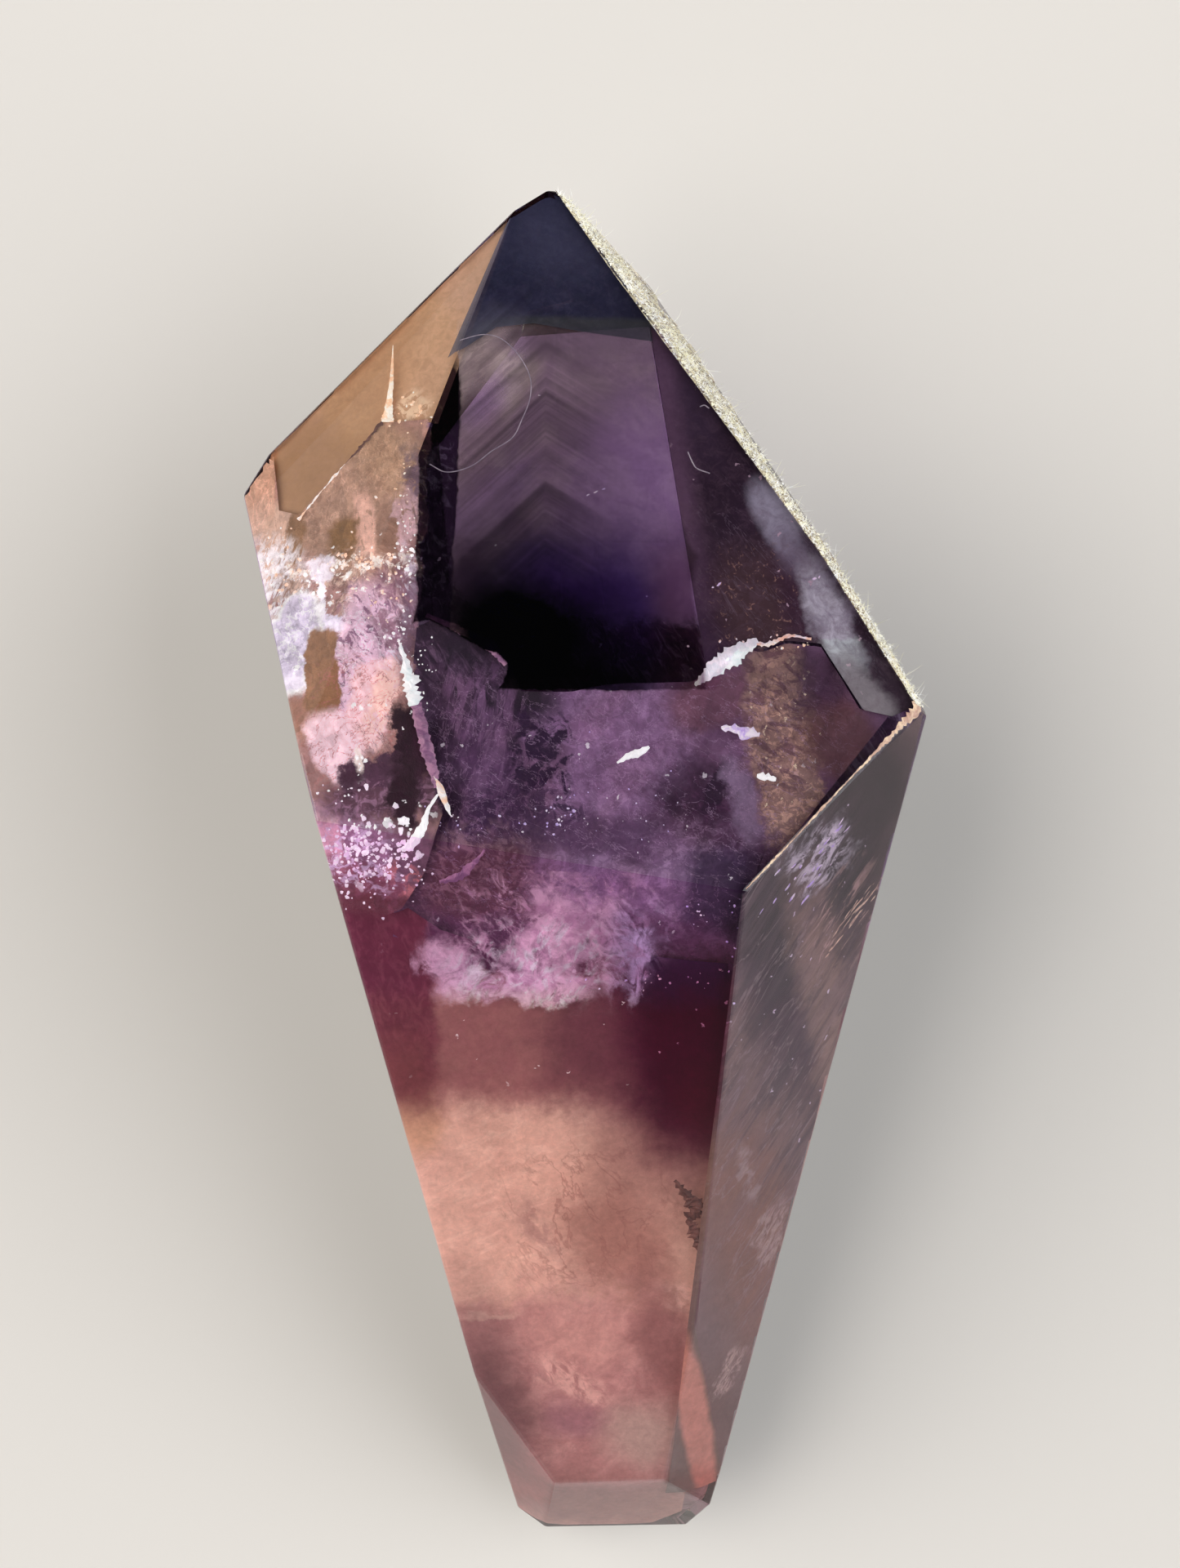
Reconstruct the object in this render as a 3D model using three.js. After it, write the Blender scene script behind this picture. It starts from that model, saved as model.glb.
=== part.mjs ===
// A hand-sized amethyst wand: one solid crystal, ground and polished into flats, lying on its broad back flat.
// The long axis is Y. The six-sided head narrows to a point at +Y, and the body tapers to a small blunt end at -Y.
// The origin is at the bottom centre of the stone's box, and +Z is up from the table it lies on.
// Lengths are in millimetres and angles in degrees.

import * as THREE from 'three';

// Every flat is measured from the heart, a point inside the stone, and is given by three numbers:
//   turn   which way it faces around the long axis: 0 is up, 90 is toward +X, 180 is down
//   lean   how far it tips toward the point, at +Y; a negative lean tips it toward the small end
//   reach  its distance from the heart
const HEAD_FLATS = {
  front: { turn: 7.5, lean: 18, reach: 14.3 },
  left: { turn: -33, lean: 27, reach: 21.5 },
  right: { turn: 73, lean: 36.5, reach: 20.7 },
  right_shoulder: { turn: 73.5, lean: 33, reach: 20.65 },
  back_right: { turn: 119.5, lean: 17, reach: 13.75 },
  back: { turn: 178, lean: 21.5, reach: 16.1 },
  back_left: { turn: -138, lean: 15, reach: 19.4 },
  left_brow: { turn: -128.5, lean: 40, reach: 23.2 },
  left_sliver: { turn: -120, lean: 42, reach: 24.85 },
  left_shoulder: { turn: -122, lean: 21, reach: 21.65 },
  back_tip: { turn: -178, lean: 46.5, reach: 23.8 },
};
const BODY_FLATS = {
  front: { turn: -0.5, lean: -27, reach: 19.1 },
  right: { turn: 47, lean: -22.5, reach: 20.55 },
  left: { turn: -88, lean: -14.5, reach: 17.95 },
  back_right: { turn: 111, lean: -5.5, reach: 15.8 },
  back_left: { turn: -135, lean: 0, reach: 20 },
  rest: { turn: 180, lean: 0, reach: 17 },
};
const END_FLATS = {
  front: { turn: 2, lean: -58, reach: 40.25 },
  left: { turn: -53.5, lean: -39.5, reach: 31.45 },
  right: { turn: 40, lean: -26.5, reach: 22.4 },
  back: { turn: 180, lean: -43, reach: 46.1 },
};

const STONE_COLOUR = 0x5a3a72;
const POLISH_ROUGHNESS = 0.08;

// Three planes closer to parallel than this never meet in a corner of the stone.
const PARALLEL_LIMIT = 1e-6;
// A corner may lie this far outside a flat and still count as on the stone.
const INSIDE_TOLERANCE = 1e-6;

// The plane of one flat, facing out, with the heart at the zero of its coordinates.
function flatPlane({ turn, lean, reach }) {
  const around = THREE.MathUtils.degToRad(turn);
  const along = THREE.MathUtils.degToRad(lean);
  const across = Math.cos(along);
  const normal = new THREE.Vector3(Math.sin(around) * across, Math.sin(along), Math.cos(around) * across);
  return new THREE.Plane(normal, -reach);
}

// The point that three planes share, or null where two of them run nearly parallel.
function meetingPoint(a, b, c) {
  const bc = new THREE.Vector3().crossVectors(b.normal, c.normal);
  const ca = new THREE.Vector3().crossVectors(c.normal, a.normal);
  const ab = new THREE.Vector3().crossVectors(a.normal, b.normal);
  const volume = a.normal.dot(bc);
  if (Math.abs(volume) < PARALLEL_LIMIT) {
    return null;
  }
  return bc.multiplyScalar(-a.constant)
    .addScaledVector(ca, -b.constant)
    .addScaledVector(ab, -c.constant)
    .divideScalar(volume);
}

// Every corner of the solid that the planes enclose, each with the three planes that meet in it.
function cornersOf(planes) {
  const corners = [];
  planes.forEach((a, i) => {
    planes.slice(i + 1).forEach((b, j) => {
      planes.slice(i + j + 2).forEach((c) => {
        const point = meetingPoint(a, b, c);
        if (point && planes.every((plane) => plane.distanceToPoint(point) < INSIDE_TOLERANCE)) {
          corners.push({ point, planes: [a, b, c] });
        }
      });
    });
  });
  return corners;
}

// The corners of one flat as indices, in counterclockwise order seen from outside.
function outlineOf(plane, corners) {
  const onFlat = corners.map((corner, index) => index).filter((index) => corners[index].planes.includes(plane));
  const middle = new THREE.Vector3();
  onFlat.forEach((index) => middle.addScaledVector(corners[index].point, 1 / onFlat.length));
  const sideways = corners[onFlat[0]].point.clone().sub(middle).normalize();
  const upward = new THREE.Vector3().crossVectors(plane.normal, sideways);
  const angle = (index) => {
    const spoke = corners[index].point.clone().sub(middle);
    return Math.atan2(spoke.dot(upward), spoke.dot(sideways));
  };
  return onFlat.sort((first, second) => angle(first) - angle(second));
}

// The closed stone, with one shared vertex for each corner and a fan of triangles on each flat.
function stoneGeometry(flats) {
  const planes = flats.map(flatPlane);
  const corners = cornersOf(planes);
  const triangles = planes.flatMap((plane) => {
    const outline = outlineOf(plane, corners);
    return outline.slice(2).flatMap((last, step) => [outline[0], outline[step + 1], last]);
  });
  const geometry = new THREE.BufferGeometry().setFromPoints(corners.map((corner) => corner.point));
  geometry.setIndex(triangles);
  geometry.computeVertexNormals();
  geometry.computeBoundingBox();
  return geometry;
}

function amethystWand() {
  const flats = [HEAD_FLATS, BODY_FLATS, END_FLATS].flatMap(Object.values);
  const material = new THREE.MeshStandardMaterial({
    color: STONE_COLOUR,
    roughness: POLISH_ROUGHNESS,
    metalness: 0,
    flatShading: true,
  });
  const stone = new THREE.Mesh(stoneGeometry(flats), material);
  stone.name = 'amethyst_wand';
  const box = stone.geometry.boundingBox;
  const middle = box.getCenter(new THREE.Vector3());
  stone.position.set(-middle.x, -middle.y, -box.min.z);
  return stone;
}

const group = new THREE.Group();
group.add(amethystWand());

export default group;
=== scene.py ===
# %% [markdown]
# This lesson dresses one polished amethyst wand. The stone is a single clear crystal with flat, ground
# faces. Its look comes from three things: glass that bends light like quartz, colour that lies in zones
# inside it, and thin sheets, veils and specks that are sealed in it.

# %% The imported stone
import math

import bmesh
import bpy
import numpy as np
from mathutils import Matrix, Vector


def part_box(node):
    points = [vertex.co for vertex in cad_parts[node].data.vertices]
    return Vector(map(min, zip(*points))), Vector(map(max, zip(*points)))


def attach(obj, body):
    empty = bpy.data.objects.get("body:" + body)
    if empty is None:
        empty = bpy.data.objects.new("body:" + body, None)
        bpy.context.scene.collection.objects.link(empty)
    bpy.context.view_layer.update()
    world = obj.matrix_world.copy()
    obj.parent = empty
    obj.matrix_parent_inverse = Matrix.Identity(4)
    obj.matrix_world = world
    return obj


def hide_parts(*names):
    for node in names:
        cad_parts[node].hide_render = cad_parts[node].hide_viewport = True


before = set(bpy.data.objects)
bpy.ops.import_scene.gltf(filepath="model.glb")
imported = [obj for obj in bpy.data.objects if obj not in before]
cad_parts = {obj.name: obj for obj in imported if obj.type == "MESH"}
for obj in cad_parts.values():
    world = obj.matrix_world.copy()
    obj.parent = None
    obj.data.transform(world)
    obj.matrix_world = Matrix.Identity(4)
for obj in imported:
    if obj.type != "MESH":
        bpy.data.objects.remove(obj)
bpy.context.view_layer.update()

MM = 0.001
STONE_NODE = "amethyst_wand"
low, high = (np.array(corner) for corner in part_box(STONE_NODE))
print("stone box in mm:", np.round(low / MM, 1), np.round(high / MM, 1))


def placed(name, data):
    """A new object with this data, in the scene."""
    thing = bpy.data.objects.new(name, data)
    bpy.context.collection.objects.link(thing)
    return thing


def new_material(name):
    """A new material with its node tree and its shader."""
    material = bpy.data.materials.new(name)
    material.use_nodes = True
    return material, material.node_tree, material.node_tree.nodes["Principled BSDF"]


# %% [markdown]
# The picture looks at the broad front of the stone from about an arm's length. The stone could stand, but
# it has no foot and would fall. So it lies on its back, and the camera hangs above it and looks straight
# down. A long lens keeps the flats in proportion.

# %% Camera
CAMERA_HEIGHT = 237 * MM
CAMERA_X, CAMERA_Y = 0.64 * MM, 9.36 * MM
LENS = 76.0
SENSOR = 36.0
FRAME_SHIFT = -0.026
NEAREST_SEEN = 10 * MM

camera_data = bpy.data.cameras.new("camera")
camera_data.lens = LENS
camera_data.sensor_width = SENSOR
camera_data.sensor_fit = "AUTO"
camera_data.shift_y = FRAME_SHIFT
camera_data.clip_start = NEAREST_SEEN
camera = placed("camera", camera_data)
camera.location = (CAMERA_X, CAMERA_Y, CAMERA_HEIGHT)
bpy.context.scene.camera = camera

# %% [markdown]
# The stone lies on a plain pale table. A curved backdrop would do as well, but from above only the table
# shows, so one large square is enough.

# %% Floor
FLOOR_SIZE = 6.0
FLOOR_DROP = 0.2 * MM
FLOOR_COLOUR = (0.76, 0.73, 0.69, 1)
FLOOR_ROUGHNESS = 0.9


def floor():
    side = FLOOR_SIZE / 2
    corners = [(x * side, y * side, -FLOOR_DROP) for x, y in ((-1, -1), (1, -1), (1, 1), (-1, 1))]
    mesh = bpy.data.meshes.new("floor")
    mesh.from_pydata(corners, [], [(0, 1, 2, 3)])
    plane = placed("floor", mesh)
    material, _, shader = new_material("pale_floor")
    shader.inputs["Base Color"].default_value = FLOOR_COLOUR
    shader.inputs["Roughness"].default_value = FLOOR_ROUGHNESS
    mesh.materials.append(material)


floor()

# %% [markdown]
# Two wide soft lamps stand left and right of the camera and light the sheets inside the stone from the
# sides. One lamp overhead would be simpler, but the front flats would mirror it into the camera and hide
# what lies inside. The lamps aren't seen through the glass, so no bright square shows in a flat.

# %% Light
LAMP_SIZE = (1.4, 1.6)
LAMP_AIM = (0, 0, 0)
WARM, COOL = (1.0, 0.97, 0.93), (0.95, 0.97, 1.0)


def softbox(name, place, power, colour):
    light = bpy.data.lights.new(name, "AREA")
    light.shape = "RECTANGLE"
    light.size, light.size_y = LAMP_SIZE
    light.energy = power
    light.color = colour
    lamp = placed(name, light)
    lamp.location = place
    direction = np.array(LAMP_AIM, float) - np.array(place, float)
    lamp.rotation_euler = Vector(direction).to_track_quat("-Z", "Y").to_euler()
    lamp.visible_transmission = False
    print(name, "gives", power, "watts")


softbox("left_softbox", (-0.95, 0.15, 0.85), 19.0, WARM)
softbox("right_softbox", (1.00, 0.05, 0.80), 15.0, COOL)

scene = bpy.context.scene
scene.view_settings.view_transform = "Standard"
scene.cycles.max_bounces = 16
scene.cycles.transmission_bounces = 16
scene.cycles.transparent_max_bounces = 24
scene.cycles.diffuse_bounces = 4
scene.cycles.glossy_bounces = 6
scene.cycles.sample_clamp_indirect = 8
scene.cycles.use_denoising = True
scene.cycles.caustics_refractive = False

# %% [markdown]
# Every colour in the stone is painted by nodes. A colour zone of a crystal is a patch with a rounded or
# straight edge that wanders a little, so one node group turns a place on the stone into a zone's mask.
# Other groups give broken cloud, thin veins, growth bands, chips with painted light and shade, and painted
# glints, and each material places them with its own values.

# %% Node helpers
def feed(tree, socket, value):
    """Link the socket to another node's output, or set it to a plain value."""
    if isinstance(value, bpy.types.NodeSocket):
        tree.links.new(value, socket)
    else:
        socket.default_value = value


def feed_all(tree, node, **values):
    """Feed inputs by their names, with underscores for the spaces."""
    for name, value in values.items():
        feed(tree, node.inputs[name.replace("_", " ")], value)
    return node


def operated(tree, kind, operation, inputs):
    node = tree.nodes.new(kind)
    node.operation = operation
    for socket, value in zip(node.inputs, inputs):
        feed(tree, socket, value)
    return node.outputs[0]


def math_node(tree, operation, *inputs):
    return operated(tree, "ShaderNodeMath", operation, inputs)


def vector_node(tree, operation, *inputs):
    return operated(tree, "ShaderNodeVectorMath", operation, inputs)


def range_node(tree, value, start, stop, first=0.0, last=1.0, smooth=False):
    """The value's way from start to stop, as a number from first to last."""
    node = tree.nodes.new("ShaderNodeMapRange")
    node.interpolation_type = "SMOOTHSTEP" if smooth else "LINEAR"
    for socket, given in zip(node.inputs, (value, start, stop, first, last)):
        feed(tree, socket, given)
    return node.outputs[0]


def blend_colour(tree, share, first, second):
    node = tree.nodes.new("ShaderNodeMix")
    node.data_type = "RGBA"
    for index, value in ((0, share), (6, first), (7, second)):
        feed(tree, node.inputs[index], value)
    return node.outputs[2]


def blend_value(tree, share, first, second):
    node = tree.nodes.new("ShaderNodeMix")
    for index, value in ((0, share), (2, first), (3, second)):
        feed(tree, node.inputs[index], value)
    return node.outputs[0]


def parts_of(tree, kind, value):
    """The parts of a vector, with the kind XYZ, or of a colour, with the kind Color."""
    node = tree.nodes.new("ShaderNodeSeparate" + kind)
    feed(tree, node.inputs[0], value)
    return node.outputs


def new_group(name, vectors, numbers, outputs):
    """A node group, with its vector inputs, its number inputs, and its outputs with a kind each."""
    group = bpy.data.node_groups.new(name, "ShaderNodeTree")
    inputs = [(title, "Vector") for title in vectors] + [(title, "Float") for title in numbers]
    for way, sockets in (("INPUT", inputs), ("OUTPUT", outputs)):
        for title, kind in sockets:
            group.interface.new_socket(name=title, in_out=way, socket_type="NodeSocket" + kind)
    return group, group.nodes.new("NodeGroupInput").outputs, group.nodes.new("NodeGroupOutput").inputs


def turned(tree, place, degrees):
    node = tree.nodes.new("ShaderNodeVectorRotate")
    node.rotation_type = "Z_AXIS"
    radians = math_node(tree, "RADIANS", degrees)
    feed_all(tree, node, Vector=place, Angle=math_node(tree, "MULTIPLY", radians, -1.0))
    return node.outputs[0]


def noise_node(tree, place, scale, detail, roughness, distortion=0.0):
    node = tree.nodes.new("ShaderNodeTexNoise")
    return feed_all(tree, node, Vector=place, Scale=scale, Detail=detail, Roughness=roughness,
                    Distortion=distortion)


def cells_node(tree, place, scale):
    return feed_all(tree, tree.nodes.new("ShaderNodeTexVoronoi"), Vector=place, Scale=scale)


# %% [markdown]
# The sky is what the polished flats mirror. A picture of a studio could be wrapped round the scene, but a
# file isn't needed for something this soft. So a ramp of greys runs with the direction: pale at the sides,
# dark overhead and ahead, because the front flats mirror what is overhead, and the colour inside would
# drown in a pale mirror image.

# %% Sky
SKY_STRENGTH = 0.78
SIDEWAYS_SHARE, AHEAD_SHARE = -0.45, 0.9
SKY_LEVELS = [(0.0, (0.80, 0.78, 0.75, 1)), (0.32, (0.52, 0.51, 0.49, 1)), (0.60, (0.03, 0.03, 0.035, 1))]


def studio_sky():
    """The ramp's place is the height of a direction, plus a share of its sideways part and of its part
    ahead."""
    world = bpy.data.worlds.new("studio")
    bpy.context.scene.world = world
    world.use_nodes = True
    tree = world.node_tree
    tree.nodes.clear()
    way = parts_of(tree, "XYZ", tree.nodes.new("ShaderNodeTexCoord").outputs["Generated"])
    sideways = math_node(tree, "ABSOLUTE", way["X"])
    level = math_node(tree, "MULTIPLY_ADD", sideways, SIDEWAYS_SHARE, way["Z"])
    ahead = math_node(tree, "MAXIMUM", way["Y"], 0.0)
    ramp = tree.nodes.new("ShaderNodeValToRGB")
    feed(tree, ramp.inputs["Fac"], math_node(tree, "MULTIPLY_ADD", ahead, AHEAD_SHARE, level))
    stops = ramp.color_ramp.elements
    stops[0].position, stops[0].color = SKY_LEVELS[0]
    stops[1].position, stops[1].color = SKY_LEVELS[2]
    stops.new(SKY_LEVELS[1][0]).color = SKY_LEVELS[1][1]
    background = tree.nodes.new("ShaderNodeBackground")
    feed_all(tree, background, Strength=SKY_STRENGTH, Color=ramp.outputs["Color"])
    output = tree.nodes.new("ShaderNodeOutputWorld")
    feed(tree, output.inputs["Surface"], background.outputs["Background"])
    print("sky levels:", [round(position, 2) for position, _ in SKY_LEVELS])


studio_sky()

# %% [markdown]
# A patch of colour has a centre, a reach and an edge that wanders. It could be painted by hand in an image,
# but a formula stays sharp from any distance. The groups here are the alphabet of the whole stone: a zone,
# a wandering noise, broken cloud, thin veins, growth bands, chips with painted light and shade, and painted
# glints.

# %% Zone mask
MASK = [("Mask", "Float")]
NOISE_MIDDLE = (0.5, 0.5, 0.5)
# scale where it is fixed, detail, roughness, distortion
WANDER_NOISE = (0.45, 6.0, 0.64)
FINE_MOTTLE, BROAD_MOTTLE = (2.2, 7.0, 0.72, 0.4), (0.35, 4.0, 0.6, 0.8)
BROAD_SHARE = 0.42


def colour_zone():
    """A patch: the place is set off from the centre, turned and divided by the reach, and the sum of its
    two parts, each to the power of the corner number, is one on the edge. A high corner number squares the
    patch off."""
    group, given, out = new_group("colour_zone", ("Place", "Wander", "Centre", "Reach"),
                                  ("Ragged", "Turn", "Corner", "Soft"), MASK)
    spread = group.nodes.new("ShaderNodeVectorMath")
    spread.operation = "SCALE"
    feed(group, spread.inputs[0], given["Wander"])
    feed(group, spread.inputs["Scale"], given["Ragged"])
    moved = vector_node(group, "ADD", given["Place"], spread.outputs[0])
    away = turned(group, vector_node(group, "SUBTRACT", moved, given["Centre"]), given["Turn"])
    share = vector_node(group, "ABSOLUTE", vector_node(group, "DIVIDE", away, given["Reach"]))
    parts = parts_of(group, "XYZ", share)
    powers = [math_node(group, "POWER", parts[axis], given["Corner"]) for axis in "XY"]
    total = math_node(group, "ADD", *powers)
    distance = math_node(group, "POWER", total, math_node(group, "DIVIDE", 1.0, given["Corner"]))
    outer = math_node(group, "ADD", 1.0, given["Soft"])
    inner = math_node(group, "SUBTRACT", 1.0, given["Soft"])
    feed(group, out["Mask"], range_node(group, distance, outer, inner, smooth=True))
    return group


def wandering():
    """Two noises: one that moves the edges of the zones about, and one that makes a colour uneven."""
    group, given, out = new_group("wandering", ("Place",), (), [("Wander", "Vector"), ("Mottle", "Float")])
    noise = noise_node(group, given["Place"], *WANDER_NOISE)
    feed(group, out["Wander"], vector_node(group, "SUBTRACT", noise.outputs["Color"], NOISE_MIDDLE))
    fine = noise_node(group, given["Place"], *FINE_MOTTLE).outputs["Fac"]
    broad = noise_node(group, given["Place"], *BROAD_MOTTLE).outputs["Fac"]
    feed(group, out["Mottle"], blend_value(group, BROAD_SHARE, fine, broad))
    return group


# %% Patterns
PATTERN_VECTORS, PATTERN_NUMBERS = ("Place", "Stretch", "Shift"), ("Turn", "Grain")
CLOUD_NOISE, VEIN_NOISE = (7.0, 0.66, 0.9), (5.0, 0.6, 0.5)
BAND_DETAIL, BAND_ROUGHNESS = 4.0, 0.6


def stretched(group, given, place):
    return vector_node(group, "MULTIPLY", turned(group, place, given["Turn"]), given["Stretch"])


def pattern_noise(group, given, settings):
    """Noise on a place that is turned, stretched and shifted."""
    shifted = vector_node(group, "ADD", stretched(group, given, given["Place"]), given["Shift"])
    return noise_node(group, shifted, given["Grain"], *settings).outputs["Fac"]


def broken_cloud():
    """Noise, kept where it is over the cut."""
    numbers = PATTERN_NUMBERS + ("Cut", "Soft")
    group, given, out = new_group("broken_cloud", PATTERN_VECTORS, numbers, MASK)
    noise = pattern_noise(group, given, CLOUD_NOISE)
    low_end = math_node(group, "SUBTRACT", given["Cut"], given["Soft"])
    high_end = math_node(group, "ADD", given["Cut"], given["Soft"])
    feed(group, out["Mask"], range_node(group, noise, low_end, high_end, smooth=True))
    return group


def thin_veins():
    """Thin wandering lines: the places where noise passes through its middle value."""
    group, given, out = new_group("thin_veins", PATTERN_VECTORS, PATTERN_NUMBERS + ("Width",), MASK)
    noise = pattern_noise(group, given, VEIN_NOISE)
    off = math_node(group, "ABSOLUTE", math_node(group, "SUBTRACT", noise, NOISE_MIDDLE[0]))
    feed(group, out["Mask"], range_node(group, off, given["Width"], 0.0, smooth=True))
    return group


def growth_bands():
    """Bands in the shape of a roof: the height over the apex plus the slope times the way to the side is
    the same all along one band, and noise on that number alone makes the bands."""
    group, given, out = new_group("growth_bands", ("Place", "Apex"), ("Left", "Right", "Grain"),
                                  [("Band", "Float")])
    away = parts_of(group, "XYZ", vector_node(group, "SUBTRACT", given["Place"], given["Apex"]))
    to_left = math_node(group, "MAXIMUM", math_node(group, "MULTIPLY", away["X"], -1.0), 0.0)
    to_right = math_node(group, "MAXIMUM", away["X"], 0.0)
    fall = math_node(group, "ADD", math_node(group, "MULTIPLY", to_left, given["Left"]),
                     math_node(group, "MULTIPLY", to_right, given["Right"]))
    noise = group.nodes.new("ShaderNodeTexNoise")
    noise.noise_dimensions = "1D"
    feed_all(group, noise, W=math_node(group, "ADD", away["Y"], fall), Scale=given["Grain"],
             Detail=BAND_DETAIL, Roughness=BAND_ROUGHNESS)
    feed(group, out["Band"], noise.outputs["Fac"])
    return group


# %% Chips and glitter
FINER_CHIPS = 3.1
CHIP_SHARES = (0.6, 0.4)
SHAKE_NOISE, SHAKE_REACH = (3.0, 2.0, 0.5), (0.5, 0.9, 0.5)
GLINT_LEAST, GLINT_SPREAD, GLINT_EDGE = 0.08, 0.30, 0.06


def chip_light_and_shade():
    """Painted light and shade on the small faces of a fracture: cells with a number each, on a turned,
    stretched and slightly moved place, that make one face lighter or darker than the next."""
    group, given, out = new_group("chip_light_and_shade", ("Place", "Wander", "Stretch"), ("Turn", "Grain"),
                                  [("Chip", "Float")])
    place = stretched(group, given, vector_node(group, "ADD", given["Place"], given["Wander"]))
    grains = (given["Grain"], math_node(group, "MULTIPLY", given["Grain"], FINER_CHIPS))
    shares = []
    for grain, share in zip(grains, CHIP_SHARES):
        number = parts_of(group, "Color", cells_node(group, place, grain).outputs["Color"])[0]
        shares.append(math_node(group, "MULTIPLY", number, share))
    feed(group, out["Chip"], math_node(group, "ADD", *shares))
    return group


def painted_glints():
    """Painted glints: small cells, of which a share is bright as if it caught a lamp. Each cell has a
    number of its own, and is kept near its middle."""
    group, given, out = new_group("painted_glints", ("Place",), ("Cells", "Share"), MASK)
    shake = noise_node(group, given["Place"], *SHAKE_NOISE)
    shaken = vector_node(group, "SUBTRACT", shake.outputs["Color"], NOISE_MIDDLE)
    moved = vector_node(group, "ADD", given["Place"], vector_node(group, "MULTIPLY", shaken, SHAKE_REACH))
    cells = cells_node(group, moved, given["Cells"])
    numbers = parts_of(group, "Color", cells.outputs["Color"])
    chosen = math_node(group, "LESS_THAN", numbers[0], given["Share"])
    size = math_node(group, "MULTIPLY_ADD", numbers[1], GLINT_SPREAD, GLINT_LEAST)
    outer = math_node(group, "ADD", size, GLINT_EDGE)
    near = range_node(group, cells.outputs["Distance"], outer, size)
    feed(group, out["Mask"], math_node(group, "MULTIPLY", chosen, near))
    return group


ZONE, WANDER, CLOUD, BANDS = colour_zone(), wandering(), broken_cloud(), growth_bands()
CHIP_LIGHT_AND_SHADE, PAINTED_GLINTS, VEINS = chip_light_and_shade(), painted_glints(), thin_veins()

# %% Masks of a layer
WANDER_REACH = 2.0
# Odd factors that carry each pattern to a part of the noise of its own.
CLOUD_SHIFT, VEIN_SHIFT = (31.7, 57.1, 13.3), (17.3, 91.7, 0.37)


def place_group(tree, group, **values):
    node = tree.nodes.new("ShaderNodeGroup")
    node.node_tree = group
    return feed_all(tree, node, **values).outputs[0]


def zone_mask(tree, place, wander, zone):
    centre_x, centre_y, reach_x, reach_y, turn, corner, soft, ragged = zone
    return place_group(tree, ZONE, Place=place, Wander=wander, Ragged=ragged * WANDER_REACH,
                       Centre=(centre_x, centre_y, 0), Reach=(reach_x, reach_y, 1), Turn=turn,
                       Corner=corner, Soft=soft)


def shift_by(numbers, factors):
    return tuple(number * factor for number, factor in zip(numbers, factors))


def pattern_mask(tree, place, pattern):
    kind, *numbers = pattern
    if kind == "painted_glints":
        cells, share = numbers
        return place_group(tree, PAINTED_GLINTS, Place=place, Cells=cells, Share=share)
    grain, across, along, turn, *rest = numbers
    common = {"Place": place, "Turn": turn, "Stretch": (across, along, 1.0), "Grain": grain}
    if kind == "veins":
        width, = rest
        return place_group(tree, VEINS, Width=width, Shift=shift_by((grain, width, turn), VEIN_SHIFT),
                           **common)
    cut, soft = rest
    return place_group(tree, CLOUD, Cut=cut, Soft=soft, Shift=shift_by((grain, cut, across), CLOUD_SHIFT),
                       **common)


def layer(tree, place, wander, name, zone, pattern, tone, weight=1, cover=1.0):
    """A row of a list of layers as its mask, its tone and its cover. The mask is the product of the masks
    that the row has and of its weight, and its node carries the row's name as a label."""
    factors = []
    if zone is not None:
        factors.append(zone_mask(tree, place, wander, zone))
    if pattern is not None:
        factors.append(pattern_mask(tree, place, pattern))
    if weight != 1:
        factors.append(weight)
    mask = factors[0]
    for factor in factors[1:]:
        mask = math_node(tree, "MULTIPLY", mask, factor)
    mask.node.label = name
    return mask, tone, cover


# %% [markdown]
# The colour that is seen is what is left of the studio's light after it has gone into the stone and come
# out again. Tones could be found by trial, but then they would all shift with the lamps. So two small
# functions turn the tone that should be seen, as a screen colour, into the tint of the glass or of a sheet
# under this light.

# %% Colours
FLOOR_LIGHT = 0.66
SHEET_LIGHT = 0.60
BRIGHTEST_SHEET = 0.95
MOTTLE_ENDS = (0.3, 0.7)


def linear(channel):
    """A screen colour channel of 0 to 255 as an amount of light, by the screen standard sRGB."""
    share = channel / 255
    return share / 12.92 if share <= 0.04045 else ((share + 0.055) / 1.055) ** 2.4


def glass_tint(red, green, blue):
    """The square of the share of floor light that makes this colour: the shader takes the root at the
    surface."""
    return tuple(min(linear(c) / FLOOR_LIGHT, 1.0) ** 2 for c in (red, green, blue)) + (1.0,)


def sheet_tint(red, green, blue, painted_glow=0.0):
    """The share of light that the sheet sends back to show this colour, with the sheet's painted glow, the
    emission that stands in for light it gathers, counted in."""
    light = SHEET_LIGHT + painted_glow
    return tuple(min(linear(c) / light, BRIGHTEST_SHEET) for c in (red, green, blue)) + (1.0,)


def stone_place(tree):
    """The place on the stone in millimetres, with the numbers that make edges wander."""
    coordinates = tree.nodes.new("ShaderNodeTexCoord")
    place = vector_node(tree, "MULTIPLY", coordinates.outputs["Object"], (1 / MM, 1 / MM, 1 / MM))
    wander = tree.nodes.new("ShaderNodeGroup")
    wander.node_tree = WANDER
    feed_all(tree, wander, Place=place)
    return place, wander.outputs["Wander"], wander.outputs["Mottle"]


def uneven_light(tree, mottle, strength):
    """A factor that wanders round one, by at most the strength where the noise keeps to its usual ends."""
    return range_node(tree, mottle, *MOTTLE_ENDS, 1 - strength, 1 + strength)


# %% [markdown]
# The stone is quartz: clear, with an index of refraction of 1.54 and a high polish. In the real crystal the
# colour fills its body, and an absorbing volume could do that, but zones in a volume render slowly and are
# lost in an exported model. So every ground flat tints what passes through it. Shadow rays pass straight
# through, so that the light of the lamps reaches the sheets inside.

# %% Glass
QUARTZ_INDEX = 1.54
LAMP_WAY_TINT = (0.93, 0.91, 0.94, 1)
BAND_ENDS = (0.35, 0.65)


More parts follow.
